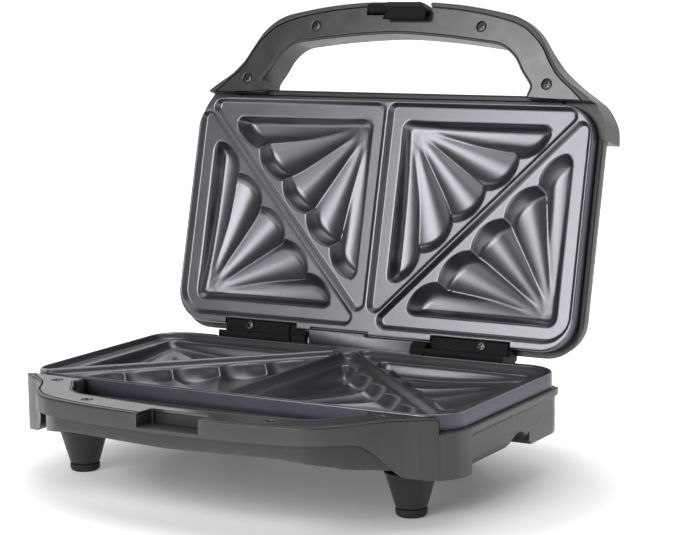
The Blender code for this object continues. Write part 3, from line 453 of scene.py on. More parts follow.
def shell_depth(a, b):
    """The scalloped hollow in a corner at (0, 0), with its two straight leg walls."""
    deep = flute_depth(a, b, 0)
    for k in range(1, FLUTES):
        deep = smooth_max(deep, flute_depth(a, b, k), 0.7)
    gap = corner_gap(a, b, 6.0)
    from_leg = 1 - np.clip(gap / LEG_WALL, 0, 1)
    deep = np.where(deep > 0, deep * (1 - from_leg ** 2), deep)
    deep = np.where(gap > 0, deep, np.minimum(deep, 2 * gap))
    return smooth_max(deep, np.zeros_like(deep), 0.7)


def plate_depth(x, s):
    """The depth of a plate's face below the parting plane."""
    u = np.abs(x)
    deep = np.zeros_like(u)
    for outer, (corner_u, corner_s) in ((True, SHELL_OUTER), (False, SHELL_INNER)):
        rim = inside(u, s, pocket_lines(outer), POCKET_CORNER)
        if outer:
            rim = np.minimum(rim, corner_gap(PLATE_HALF - RIM_SIDE - u, s - RIM_ENDS[0], 17.0))
        deep += SHELF_DEPTH * ramp_step(rim / SHELF_WALL, 0.16)
        a, b = (corner_u - u, s - corner_s) if outer else (u - corner_u, corner_s - s)
        a, b = a * SHELL_SCALES[outer][0], b * SHELL_SCALES[outer][1]
        deep += np.where(rim > SHELF_WALL, shell_depth(a, b), 0)
    return deep


def plate_columns(pitch, rear_edge):
    """Columns of a plate's grid as (x, rear s, front s), closer together in the corners."""
    core = PLATE_HALF - PLATE_CORNER
    marks = {0.0}
    for i in range(1, int(core / pitch) + 1):
        marks |= {i * pitch, -i * pitch}
    for k in range(0, 41):
        x = core + PLATE_CORNER * math.sin(math.radians(90 * k / 40))
        marks |= {x, -x}
    for step in (-0.15, 0.15):
        for edge in rear_edge["steps"]:
            marks.add(edge + step)
    near = {round(m, 3) for m in marks}
    columns = []
    for x in sorted(near):
        if columns and x - columns[-1][0] < 0.12:
            continue
        over = max(abs(x) - core, 0)
        pull = PLATE_CORNER - math.sqrt(max(PLATE_CORNER ** 2 - over ** 2, 0))
        columns.append((x, max(PLATE_REAR + pull, rear_edge["at"](x)), PLATE_FRONT - pull))
    return columns


def plate_rim(x, s, rear):
    """How far a point is inside the plate's outline."""
    core_x, core_s = PLATE_HALF - PLATE_CORNER, (PLATE_REAR + PLATE_CORNER, PLATE_FRONT - PLATE_CORNER)
    dx = np.maximum(np.abs(x) - core_x, 0)
    ds = np.maximum(np.maximum(core_s[0] - s, s - core_s[1]), 0)
    corner = PLATE_CORNER - np.hypot(dx, ds)
    return np.minimum(corner, s - rear)


def make_plate(name, pitch, rear_edge):
    """One closed mesh: the pressed face, its rounded rim, its skirt and the block below it."""
    columns = plate_columns(pitch, rear_edge)
    edge = [0.0, 0.1, 0.32, 0.7, 1.15]
    x = np.array([c[0] for c in columns])
    rear = np.array([c[1] for c in columns])
    front = np.array([c[2] for c in columns])
    squeeze = np.minimum(1, (front - rear) / 40)
    rows = [rear + e * squeeze for e in edge]
    high = front - edge[-1] * squeeze
    start = np.maximum(NOTCH_FRONT + 1.6, rows[-1] + 0.4)
    rows += [rows[-1] + t * (start - rows[-1]) for t in (0.25, 0.5, 0.75)]
    count = int((PLATE_FRONT - NOTCH_FRONT) / pitch)
    rows += [start + t * (high - start) for t in np.linspace(0, 1, count + 1)[:-1]]
    rows += [front - e * squeeze for e in reversed(edge)]
    s = np.array(rows)
    xx = np.broadcast_to(x, s.shape)
    reach = np.clip(plate_rim(xx, s, rear), 0, PLATE_EDGE)
    drop = PLATE_EDGE - np.sqrt(PLATE_EDGE ** 2 - (PLATE_EDGE - reach) ** 2)
    depth = plate_depth(xx, s) + drop + FACE_GAP
    n_rows, n_columns = s.shape
    verts = np.stack([xx, -s, -depth], -1).reshape(-1, 3)
    index = np.arange(n_rows * n_columns).reshape(n_rows, n_columns)
    quads = np.stack([index[:-1, :-1], index[:-1, 1:], index[1:, 1:], index[1:, :-1]], -1).reshape(-1, 4)
    loop = np.concatenate([index[0, :-1], index[:-1, -1], index[-1, :0:-1], index[:0:-1, 0]])
    ring = verts[loop].copy()
    core = np.stack([np.clip(ring[:, 0], -(PLATE_HALF - PLATE_CORNER), PLATE_HALF - PLATE_CORNER),
                     np.clip(-ring[:, 1], PLATE_REAR + PLATE_CORNER, PLATE_FRONT - PLATE_CORNER)], -1)
    out = np.stack([ring[:, 0], -ring[:, 1]], -1) - core
    out /= np.maximum(np.linalg.norm(out, axis=1, keepdims=True), 1e-6)

    def inner_ring(half, ends, corner, depth):
        scale_x = (half - corner) / (PLATE_HALF - PLATE_CORNER)
        span = PLATE_FRONT - PLATE_REAR - 2 * PLATE_CORNER
        along = (core[:, 1] - PLATE_REAR - PLATE_CORNER) / span
        cs = ends[0] + corner + along * (ends[1] - ends[0] - 2 * corner)
        return np.stack([core[:, 0] * scale_x + corner * out[:, 0], -(cs + corner * out[:, 1]),
                         np.full(len(core), -depth)], -1)

    skirt = ring.copy()
    skirt[:, 2] = -PLATE_DEPTH
    levels = [skirt, inner_ring(137.6, (11.9, 152.7), 18.6, PLATE_DEPTH),
              inner_ring(137.6, (11.9, 152.7), 18.6, WEB_DEPTH),
              inner_ring(130.6, (18.6, 146.2), 10.0, WEB_DEPTH),
              inner_ring(130.6, (18.6, 146.2), 10.0, BLOCK_DEPTH)]
    faces = [tuple(q) for q in quads[:, ::-1].tolist()]
    last, total = loop.tolist(), len(verts)
    points = [verts]
    for level in levels:
        fresh = list(range(total, total + len(level)))
        for i in range(len(last)):
            j = (i + 1) % len(last)
            faces.append((last[i], last[j], fresh[j], fresh[i]))
        points.append(level)
        last, total = fresh, total + len(level)
    faces.append(tuple(last))
    mesh = bpy.data.meshes.new(name)
    mesh.from_pydata(np.concatenate(points).tolist(), [], faces)
    mesh.materials.append(MATERIALS["plate"])
    mesh.materials.append(MATERIALS["skirt"])
    # The faces below the face grid take the darker skirt finish, as painted shade on the plate's sides.
    for face in mesh.polygons[len(quads):]:
        face.material_index = 1
    bm = bmesh.new()
    bm.from_mesh(mesh)
    bmesh.ops.recalc_face_normals(bm, faces=bm.faces)
    bm.to_mesh(mesh)
    bm.free()
    thing = bpy.data.objects.new(name, mesh)
    scene.collection.objects.link(thing)
    return thing


def shade(thing, degrees=35, weighted=False):
    """Smooth shading with sharp edges; weighted keeps large flat faces flat."""
    thing.data.shade_smooth()
    thing.data.set_sharp_from_angle(angle=math.radians(degrees))
    if weighted:
        change = thing.modifiers.new("normals", "WEIGHTED_NORMAL")
        change.keep_sharp = True
        change.weight = 80
        settle(thing)
    return thing


def place(thing, half, key, slot=None, stands_for=(), body=None):
    """Moves a finished half-frame piece to its body, and hides the imported parts it stands for."""
    thing.data.transform(HALF_FRAMES[half] @ Matrix.Scale(MM, 4))
    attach(thing, body or half)
    use(thing, key)
    if stands_for:
        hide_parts(*stands_for)
    return thing


def hinge_notch(x):
    return NOTCH_FRONT if NOTCH_SPAN[0] < abs(x) < NOTCH_SPAN[1] else 0.0


def rear_guard():
    """The upright strip behind the lower plate's rim, taller on its left."""
    half, low, tall, end = 36.9, 5.5, 7.3, 3.0
    outline = [(-half, -4.0), (-half, tall), (end, tall), (end + 0.6, low), (half, low), (half, -4.0)]
    upright = extruded([at(u, -1, -up) for u, up in rounded(outline, 0.5, 3)], Vector((0, -2, 0)), "guard")
    foot = across([(-0.9, 4.0), (7.35, 4.0), (7.35, 6.0), (-0.9, 6.0)], -half, half)
    return eased(combine(upright, [foot], "UNION"), 0.3)


def joined(target, extra):
    """Adds a second closed body to an object's mesh."""
    bm = bmesh.new()
    bm.from_mesh(target.data)
    bm.from_mesh(extra.data)
    bm.to_mesh(target.data)
    bm.free()
    bpy.data.objects.remove(extra)
    return target


def make_plates():
    notches = [sign * u for u in NOTCH_SPAN for sign in (1, -1)]
    lower = make_plate("lower_grill_plate", 0.85, {"steps": notches, "at": hinge_notch})
    joined(lower, rear_guard())
    place(shade(lower, 50), "base", "plate", "coated_plate", ["lower_plate"])
    edge = {"steps": notches + [-4.2, 38.1],
            "at": lambda x: max(hinge_notch(x), 7.97 if -4.2 < x < 38.1 else 0.0)}
    upper = make_plate("upper_grill_plate", 0.7, edge)
    place(shade(upper, 50), "lid", "plate", "coated_plate", ["upper_plate"])


# Solids in a half frame, in mm


def at(u, s, d):
    """A point of the half frame as coordinates in mm."""
    return Vector((u, -s, -d))


def made(bm, name):
    """A closed mesh object, its faces pointing out, not yet in the scene."""
    bmesh.ops.recalc_face_normals(bm, faces=bm.faces)
    mesh = bpy.data.meshes.new(name)
    bm.to_mesh(mesh)
    bm.free()
    thing = bpy.data.objects.new(name, mesh)
    scene.collection.objects.link(thing)
    return thing


def extruded(points, travel, name="prism"):
    """A flat outline of 3D points, pushed along a vector."""
    bm = bmesh.new()
    face = bm.faces.new([bm.verts.new(point) for point in points])
    pushed = bmesh.ops.extrude_face_region(bm, geom=[face])
    corners = [item for item in pushed["geom"] if isinstance(item, bmesh.types.BMVert)]
    bmesh.ops.translate(bm, verts=corners, vec=travel)
    return made(bm, name)


def prism(outline, top, bottom, name="prism"):
    """A (u, s) outline from depth top down to depth bottom."""
    return extruded([at(u, s, top) for u, s in outline], Vector((0, 0, top - bottom)), name)


def across(profile, left, right, name="bar"):
    """An (s, d) profile from u = left to u = right."""
    return extruded([at(left, s, d) for s, d in profile], Vector((right - left, 0, 0)), name)


def along(profile, rear, front, name="run"):
    """A (u, d) profile from s = rear to s = front."""
    return extruded([at(u, rear, d) for u, d in profile], Vector((0, rear - front, 0)), name)


def loft(sections, name="loft"):
    """A closed skin over (outline, depth) sections with the same number of points."""
    bm = bmesh.new()
    rings = [[bm.verts.new(at(u, s, depth)) for u, s in outline] for outline, depth in sections]
    for upper, lower in zip(rings, rings[1:]):
        for i, vert in enumerate(upper):
            after = (i + 1) % len(upper)
            bm.faces.new([vert, upper[after], lower[after], lower[i]])
    bm.faces.new(rings[0])
    bm.faces.new(rings[-1])
    return made(bm, name)


def turned(profile, spot, axis, segments=32, name="turned"):
    """A (radius, height) profile spun about an axis through spot; both ends lie on the axis."""
    bm = bmesh.new()
    verts = [bm.verts.new((radius, 0, height)) for radius, height in profile]
    for first, second in zip(verts, verts[1:]):
        bm.edges.new([first, second])
    bmesh.ops.spin(bm, geom=bm.verts[:] + bm.edges[:], cent=(0, 0, 0), axis=(0, 0, 1),
                   angle=math.tau, steps=segments, use_merge=True)
    bmesh.ops.remove_doubles(bm, verts=bm.verts, dist=1e-4)
    turn = Vector((0, 0, 1)).rotation_difference(Vector(axis)).to_matrix().to_4x4()
    bmesh.ops.transform(bm, matrix=Matrix.Translation(spot) @ turn, verts=bm.verts)
    return made(bm, name)


def rod(spot, axis, radius, length, segments=24, name="rod"):
    return turned([(0, 0), (radius, 0), (radius, length), (0, length)], spot, axis, segments, name)


def combine(target, tools, operation="DIFFERENCE"):
    """Cuts, joins or intersects the target with each tool, and removes the tools."""
    for tool in tools:
        change = target.modifiers.new(operation.lower(), "BOOLEAN")
        change.operation = operation
        change.solver = "EXACT"
        change.object = tool
        settle(target)
        bpy.data.objects.remove(tool)
    return target


def settle(thing):
    """Applies an object's modifiers."""
    graph = bpy.context.evaluated_depsgraph_get()
    thing.data = bpy.data.meshes.new_from_object(thing.evaluated_get(graph))
    thing.modifiers.clear()
    return thing


def eased(thing, width, segments=2, angle=32, merge=0.06):
    """Cleans a Boolean's result and rounds its sharp edges."""
    bm = bmesh.new()
    bm.from_mesh(thing.data)
    bmesh.ops.remove_doubles(bm, verts=bm.verts, dist=merge)
    bmesh.ops.dissolve_degenerate(bm, edges=bm.edges, dist=0.02)
    bm.to_mesh(thing.data)
    bm.free()
    change = thing.modifiers.new("bevel", "BEVEL")
    change.width = width
    change.segments = segments
    change.limit_method = "ANGLE"
    change.angle_limit = math.radians(angle)
    change.use_clamp_overlap = False
    change.miter_outer = "MITER_ARC"
    return settle(thing)


def smooth(points, steps):
    """A Catmull-Rom curve through the points, with its ends."""
    line = []
    for i in range(len(points) - 1):
        before = Vector(points[max(i - 1, 0)])
        start, end = Vector(points[i]), Vector(points[i + 1])
        after = Vector(points[min(i + 2, len(points) - 1)])
        for k in range(steps):
            t = k / steps
            line.append(0.5 * (2 * start + (end - before) * t
                               + (2 * before - 5 * start + 4 * end - after) * t * t
                               + (3 * start - before - 3 * end + after) * t ** 3))
    return line + [Vector(points[-1])]


def arch(half, inset=0.0, steps=6):
    """A half outline made whole about the middle, smoothed, and moved inwards by inset."""
    right = [Vector(point) for point in half]
    line = smooth(right + [Vector((-p.x, p.y)) for p in reversed(right[:-1])], steps)
    moved = []
    for i, point in enumerate(line):
        run = (line[min(i + 1, len(line) - 1)] - line[max(i - 1, 0)]).normalized()
        moved.append(point + inset * Vector((-run.y, run.x)))
    return moved


def band_between(outer, inner, tail=0.0):
    """The closed outline of an arched band, its two ends lengthened towards the hinge."""
    if not tail:
        return outer + inner[::-1]
    ends = [Vector((p.x, p.y - tail)) for p in (outer[0], outer[-1], inner[-1], inner[0])]
    return [ends[0]] + outer + ends[1:3] + inner[::-1] + [ends[3]]


def rounded(corners, radius, steps=8):
    """A polygon with its corners rounded."""
    line = []
    for i, corner in enumerate(corners):
        here = Vector(corner)
        back = (Vector(corners[i - 1]) - here).normalized()
        ahead = (Vector(corners[(i + 1) % len(corners)]) - here).normalized()
        half = 0.5 * back.angle(ahead)
        centre = here + (back + ahead).normalized() * radius / math.sin(half)
        start = here + back * radius / math.tan(half) - centre
        end = here + ahead * radius / math.tan(half) - centre
        sweep = start.angle_signed(end)
        for k in range(steps + 1):
            line.append(centre + Matrix.Rotation(-sweep * k / steps, 2) @ start)
    return line


def rectangle(half, rear, front, radius, steps=10):
    return rounded([(half, rear), (half, front), (-half, front), (-half, rear)], radius, steps)


def arc(centre, radius, start, end, steps):
    """Points of an arc in a flat frame, with its ends, in degrees."""
    angles = [math.radians(start + (end - start) * k / steps) for k in range(steps + 1)]
    return [(centre[0] + radius * math.cos(a), centre[1] + radius * math.sin(a)) for a in angles]


# Casings


def case_sections(levels, steps=12):
    """Rounded rectangles for a casing, from (inset, depth) pairs."""
    return [(rectangle(CASE_HALF - inset, CASE_REAR + inset, CASE_FRONT - inset,
                       max(CASE_CORNER - inset, 1.0), steps), depth) for inset, depth in levels]


def curved(levels, steps=5):
    """(inset, depth) pairs with a smooth line between them."""
    return [tuple(point) for point in smooth(levels, steps)]


def handle_form():
    """The arch of the handle and its shoulders, with its opening cut out."""
    reach = CASE_FRONT + 70
    rear = HANDLE_OUTLINE[0][1] - 1

    def under(depths, top):
        """A body above a smooth profile of depths over u, the same on both sides."""
        right = [tuple(p) for p in smooth(depths, 4)]
        left = [(-u, d) for u, d in reversed(right)]
        if right[0][0] == 0:
            left = left[:-1]
        edge = right[-1][0]
        return along([(-edge, top)] + left + right + [(edge, top)], rear, reach, "under")

    sections = [(arch(HANDLE_OUTLINE, inset), depth) for inset, depth in
                ((1.0, PARTING_GAP), (0.55, 0.62), (0.2, 0.92), (0.0, 1.6), (0.0, 40.0))]
    band = combine(loft(sections, "band"), [under(SHOULDER_DEPTHS, -1)], "INTERSECT")
    core = combine(prism(arch(CORE_OUTLINE), 5, 40, "core"), [under(CORE_DEPTHS, -1)], "INTERSECT")
    combine(band, [core], "UNION")
    flare = [(arch(OPENING_OUTLINE, HANDLE_LIP + grow), depth) for grow, depth in
             ((-1.0, -1.0), (-0.9, 0.45), (-0.45, 0.62), (-0.12, 0.95), (0.0, 1.7), (0.0, 45.0))]
    return combine(band, [loft(flare, "mouth")])


def cover_outline(outer, inner, tail=0.0):
    return band_between(arch(COVER_OUTLINE, outer), arch(OPENING_OUTLINE, inner), tail)


def make_cover(name):
    """The plate let into the face of a handle, with its countersunk screw holes."""
    top = PARTING_GAP
    sections = [(cover_outline(SEAM + 0.35, -SEAM * 0.4), top),
                (cover_outline(SEAM + 0.1, 0.0), top + 0.12),
                (cover_outline(SEAM, 0.0), top + 0.4), (cover_outline(SEAM, 0.0), top + COVER_THICK)]
    cover = loft(sections, name)
    sinks = []
    for side in (1, -1):
        for u, s in SCREW_SPOTS:
            head, shank = SCREW_HEAD + GAP, SCREW_SHANK + GAP
            profile = [(0, 2), (head + 0.5, 2), (head + 0.5, 0.05), (head + 0.12, -0.3),
                       (head, -SINK_DEPTH), (shank, -SINK_DEPTH), (shank, -5), (0, -5)]
            sinks.append(turned(profile, at(side * u, s, PARTING_GAP), (0, 0, 1), 32, "sink"))
    return combine(cover, sinks)


def make_casing(name, levels, room):
    """A tub with a lip, its handle, the seat of its plate and of its handle cover."""
    casing = loft(case_sections(levels), name)
    combine(casing, [handle_form()], "UNION")
    cuts = [((150, 100, HANDLE_REAR), LIP_TOP), ((MOUTH_HALF, 150, MOUTH_FRONT), LIP_TOP),
            ((GROOVE_HALF, 150, GROOVE_FRONT), LEDGE_DEPTH + 0.5)]
    combine(casing, [prism([(-u, rear), (u, rear), (u, front), (-u, front)], -2, depth)
                     for (u, rear, front), depth in cuts])
    seat = rectangle(PLATE_HALF + 2 * GAP, CASE_REAR - 5, PLATE_FRONT + 2 * GAP, PLATE_CORNER + 2 * GAP)
    hollow = rectangle(PLATE_HALF - 2.7, CASE_REAR + 6.4, PLATE_FRONT - 2.4, PLATE_CORNER - 2.4)
    combine(casing, [prism(seat, -2, LEDGE_DEPTH), prism(hollow, LEDGE_DEPTH - 1, REFLECTOR_LEDGE)])
    combine(casing, [room])
    outline = cover_outline(-SEAM, GAP, 2 * GAP)
    combine(casing, [prism(outline, -1, PARTING_GAP + COVER_THICK + GAP)])
    bores = []
    for side in (1, -1):
        for u, s in SCREW_SPOTS:
            bores.append(rod(at(side * u, s, 0), (0, 0, -1), SCREW_SHANK + GAP, SCREW_LENGTH + 2))
    return combine(casing, bores)


def recess_mouth():
    left, right = RECESS_SPAN
    return [(left, RECESS_REAR), (right, RECESS_REAR), (right + 1, 240), (left - 2, 240)]


def make_base_housing():
    wall = [(2.0, 22), (2.0, 27), (3.2, 30), (6.5, 32.6), (14, 34.1), (22, BASE_FLOOR)]
    levels = LIP_LEVELS + curved(wall)
    lower = rectangle(LOWER_ROOM_HALF, *LOWER_ROOM_ENDS, 12, 4)
    casing = make_casing("base_casing", levels, prism(lower, LEDGE_DEPTH, BASE_FLOOR - CASE_WALL))
    ears, legs, notches = [], [], []
    for side in (1, -1):
        profile = arc((0, 0), EAR_RADIUS, 180, 360, 20)
        profile += [(EAR_RADIUS, LEDGE_DEPTH), (8, LEDGE_DEPTH + 1), (8, 26), (4, 26), (-EAR_RADIUS, 8)]
        ears.append(across(profile, *[side * u for u in EAR_SPAN], "ear"))
        leg = across(rounded(LEG_PROFILE, 0.8, 2), side * 124, side * 150, "leg")
        within = rectangle(CASE_HALF - 2, CASE_REAR + 2, CASE_FRONT - 2, CASE_CORNER - 2)
        legs.append(combine(leg, [prism(within, 20, 40)], "INTERSECT"))
        notch = arc((71.6, 39.2), 14.1, 0, 360, 40)[:-1]
        notches.append(across(notch, side * 125, side * 150, "notch"))
    combine(casing, ears, "UNION")
    combine(casing, legs, "UNION")
    combine(casing, notches)
    cuts = [rod(at(side * (EAR_SPAN[0] - 1), 0, 0), (side, 0, 0), PIN_RADIUS + GAP, 15) for side in (1, -1)]
    left, right = RECESS_SPAN
    cuts.append(prism(recess_mouth(), -1, RECESS_DEPTH))
    rear = RECESS_REAR - CATCH_UNDERCUT
    under = [(left + 1, rear), (right - 1, rear), (right - 1, RECESS_REAR + 1), (left + 1, RECESS_REAR + 1)]
    cuts.append(prism(under, PARTING_GAP + COVER_THICK, RECESS_DEPTH))
    cuts.append(rod(at(INLET_SPOT[0], -5, INLET_SPOT[1]), (0, -1, 0), INLET_RADIUS + GAP, 25))
    return eased(combine(casing, cuts), EASE)


def make_lid_housing():
    levels = LIP_LEVELS + curved([(2.0, 18), (2.4, 21), (4, 25), (8.5, 29), (15, 31.8), (23, LID_TOP)])
    lower = rectangle(LOWER_ROOM_HALF, *LOWER_ROOM_ENDS, 12, 4)
    casing = make_casing("lid_casing", levels, prism(lower, LEDGE_DEPTH, LID_TOP - 2 * CASE_WALL))
    arms, cuts = [], []
    front, flat = NOTCH_FRONT - GAP, HINGE_COVER_THICK + GAP
    for side in (1, -1):
        profile = arc((0, 0), ARM_RADIUS, 135, 330, 22)
        profile += [(front, flat), (front, ARM_DEPTH), (0, ARM_DEPTH)]
        arms.append(across(profile, *[side * u for u in ARM_SPAN], "arm"))
    combine(casing, arms, "UNION")
    for side in (1, -1):
        cuts.append(rod(at(side * (ARM_SPAN[0] - 1), 0, 0), (side, 0, 0), PIN_RADIUS + GAP, 14))
        u, s = HINGE_COVER_SPOT
        cuts.append(rod(at(side * u, s, 0), (0, 0, -1), SCREW_SHANK + GAP, 9))
        span = [side * (ARM_SPAN[0] - 1), side * (ARM_SPAN[1] + 1)]
        cuts.append(across([(1.8, -10), (12, -10), (12, flat), (1.8, flat)], *span, "flat"))
    cuts.append(prism(latch_slot(), -1, 12))
    cuts.append(rod(at(-BAR_HALF - 4, *LATCH_PIVOT), (1, 0, 0), LATCH_PIN_RADIUS + GAP, 2 * BAR_HALF + 8))
    for u, s in LENS_SPOTS:
        cuts.append(rod(at(u, s, LID_TOP - 8), (0, 0, -1), LENS_RADIUS + GAP, 20))
    return eased(combine(casing, cuts), EASE)


def latch_slot():
    reach = BAR_HALF + 2 * GAP
    return [(reach, 209.2), (reach, 240), (-reach, 240), (-reach, 209.2)]


def darkened(casing):
    """Gives the hinge ears and arms of a casing a second, black finish."""
    casing.data.materials.append(MATERIALS["housing"])
    casing.data.materials.append(MATERIALS["black"])
    for face in casing.data.polygons:
        u, s, d = face.center.x, -face.center.y, -face.center.z
        if EAR_SPAN[0] - 0.5 < abs(u) < ARM_SPAN[1] + 0.5 and s < NOTCH_FRONT and d < ARM_DEPTH + 0.5:
            face.material_index = 1
    return casing


def within(thing, half):
    """Keeps a rounded corner inside the outline's half width."""
    for vert in thing.data.vertices:
        vert.co.x = max(-half, min(half, vert.co.x))
    return thing


def make_casings():
    half = HANDLE_OUTLINE[0][0]
    base, lid = darkened(within(make_base_housing(), half)), darkened(within(make_lid_housing(), half))
    place(shade(base, 40, True), "base", "housing", "housing_plastic", ["base_housing"])
    place(shade(lid, 40, True), "lid", "housing", "housing_plastic", ["lid_housing"])
    lower = combine(make_cover("base_handle_face"), [prism(recess_mouth(), -1, 5)])
    upper = combine(make_cover("lid_handle_face"), [prism(latch_slot(), -1, 5)])
    place(shade(eased(lower, 0.15, 1), 40, True), "base", "face", "housing_plastic", ["base_handle_cover"])
    place(shade(eased(upper, 0.15, 1), 40, True), "lid", "face", "housing_plastic", ["lid_handle_cover"])


# Fittings


def make_screw(name):
    """A pan head with a cross recess, its seat at the origin."""
    head, shank = SCREW_HEAD, SCREW_SHANK
    profile = [(0, 0.55), (0.45 * head, 0.54), (0.7 * head, 0.48), (0.88 * head, 0.36), (0.97 * head, 0.18),
               (head, 0.05), (head, 0), (shank, 0), (shank, -SCREW_LENGTH), (0, -SCREW_LENGTH)]
    screw = turned(profile, (0, 0, 0), (0, 0, 1), 40, name)

    def cross(reach, half):
        spokes = [(reach, half), (half, half), (half, reach), (-half, reach), (-half, half),
                  (-reach, half), (-reach, -half), (-half, -half), (-half, -reach), (half, -reach),
                  (half, -half), (reach, -half)]
        turn = Matrix.Rotation(math.radians(25), 2)
        return [turn @ Vector(spoke) for spoke in spokes]

    return combine(screw, [loft([(cross(1.9, 0.5), -0.7), (cross(1.2, 0.3), 0.9)], "cross")])


def make_screws():
    pattern = make_screw("screw_pattern")
    spots = []
    for half in ("base", "lid"):
        for end, (u, s) in zip(("front", "rear"), SCREW_SPOTS):
            for side, hand in ((1, "right"), (-1, "left")):
                node = f"{half}_handle_screw_{end}_{hand}"
                spots.append((half, node, side * u, s, PARTING_GAP + SINK_DEPTH))
    for side, hand in ((1, "right"), (-1, "left")):
        u, s = HINGE_COVER_SPOT
        spots.append(("lid", f"hinge_cover_screw_{hand}", side * u, s, 0.0))
    for half, node, u, s, seat in spots:
        screw = bpy.data.objects.new(f"cross_{node}", pattern.data.copy())
        scene.collection.objects.link(screw)
        spin = Matrix.Rotation(math.radians(37 * u), 4, "Z")
        screw.data.transform(Matrix.Translation(at(u, s, seat - GAP)) @ spin)
        place(shade(screw, 30), half, "screw", "steel", [node])
    bpy.data.objects.remove(pattern)


def make_hinge_covers():
    """Flat covers on the hinge arms, each with a raised ring round its screw."""
    for side, hand in ((1, "right"), (-1, "left")):
        span = [side * (ARM_SPAN[0] + 5), side * (ARM_SPAN[1] - 1)]
        front = NOTCH_FRONT - GAP
        profile = [(2.1, 0.0), (front, 0.0), (front, HINGE_COVER_THICK), (2.1, HINGE_COVER_THICK)]
        cover = across(profile, *span, f"hinge_plate_{hand}")
        u, s = HINGE_COVER_SPOT
        spot = at(side * u, s, 0)
        ring = [(0, -1), (4.2, -1), (4.2, 0.0), (4.0, 0.1), (3.6, 0.1), (3.4, 0.0), (0, 0.0)]
        combine(cover, [turned(ring, spot, (0, 0, 1), 36, "ring")], "UNION")
        shank = SCREW_SHANK + GAP
        sink = [(0, 1), (3.1, 1), (3.1, -0.02), (shank, -0.02), (shank, -4), (0, -4)]
        combine(cover, [turned(sink, spot, (0, 0, 1), 36, "sink")])
        place(shade(eased(cover, 0.2), 40, True), "lid", "black", "black_plastic", [f"hinge_cover_{hand}"])


def make_latch():
    """The clip: a bar on its pin, and a tongue with a toe that hooks under the other handle."""
    bar = [(210.8, 1.6), (212.0, 0.4), (216.4, 0.4), (217.8, 1.8), (217.8, 8.4), (216.4, 9.8), (210.8, 9.8)]
    tongue = [(210.8, 1.6), (209.8, -3.7), (205.5, -3.7), (205.5, -4.9), (206.5, -5.7), (213.5, -5.7),
              (217.2, -2.0), (217.4, 3.0), (212.0, 3.0)]
    latch = across(rounded(bar, 0.35, 3), -BAR_HALF, BAR_HALF, "clip_bar")
    combine(latch, [across(rounded(tongue, 0.3, 3), *LATCH_TONGUE, "tongue")], "UNION")
    shoulder = [(-13.5, 219.0), (-13.5, 217.7), (-17.2, 217.0), (-20.0, 215.2), (-22.0, 212.8),
                (-22.9, 210.9), (-24.0, 210.9), (-24.0, 219.0)]
    slant = [(7.6, 204.0), (7.6, 206.0), (5.4, 209.9), (5.4, 210.6), (9.0, 210.6), (9.0, 204.0)]
    toe = [(-22.7, 204.0), (-22.7, 207.2), (-22.0, 206.0), (-20.8, 205.4), (-20.8, 204.0)]
    bore = rod(at(-40, *LATCH_PIVOT), (1, 0, 0), LATCH_PIN_RADIUS + GAP, 80)
    s, d = LATCH_PIVOT
    room = across([(s - 9, d - 3), (s + 3, d - 3), (s + 3, d + 9), (s - 9, d + 9)], -5, 5)
    combine(latch, [prism(shoulder, -9, 12), prism(slant, -9, -2.5), prism(toe, -9, 0), bore, room])
    place(shade(eased(latch, 0.45, 3), 40, True), "lid", "black", "black_plastic", ["latch"], "clip")


def make_feet():
    """Tapered feet with a collar, on soft pads with a rounded tread."""
    top, floor = BASE_FLOOR + GAP, HINGE_HEIGHT / MM
    tip = floor - PAD_HEIGHT - GAP
    height = tip - top
    wide, narrow = FOOT_TOP_RADIUS, FOOT_TIP_RADIUS
    cone = [(0, 0), (wide - 0.3, 0), (wide, -0.3), (wide - 0.35, -1.6), (wide - 0.9, -2.0)]
    cone += [(narrow + 0.15, -height + 1.5), (narrow - 0.2, -height + 0.5), (narrow - 0.8, -height),
             (0, -height)]
    tread = arc((PAD_RADIUS - 2.4, 2.4), 2.4, -90, 0, 8)
    pad = [(0, 0.35), (PAD_RADIUS - 4.2, 0.35), (PAD_RADIUS - 3.8, 0)] + tread
    pad += [(PAD_RADIUS, PAD_HEIGHT - 0.4), (PAD_RADIUS - 0.4, PAD_HEIGHT), (0, PAD_HEIGHT)]
    for end, (u, s) in FEET.items():
        for side, hand in ((1, "right"), (-1, "left")):
            foot = turned(cone, at(side * u, s, top), (0, 0, 1), 56, f"tapered_foot_{end}_{hand}")
            place(shade(foot, 40), "base", "foot", "black_plastic", [f"foot_{end}_{hand}"])
            sole = turned(pad, at(side * u, s, floor), (0, 0, 1), 56, f"soft_pad_{end}_{hand}")
            place(shade(sole, 40), "base", "rubber", "rubber", [f"foot_pad_{end}_{hand}"])


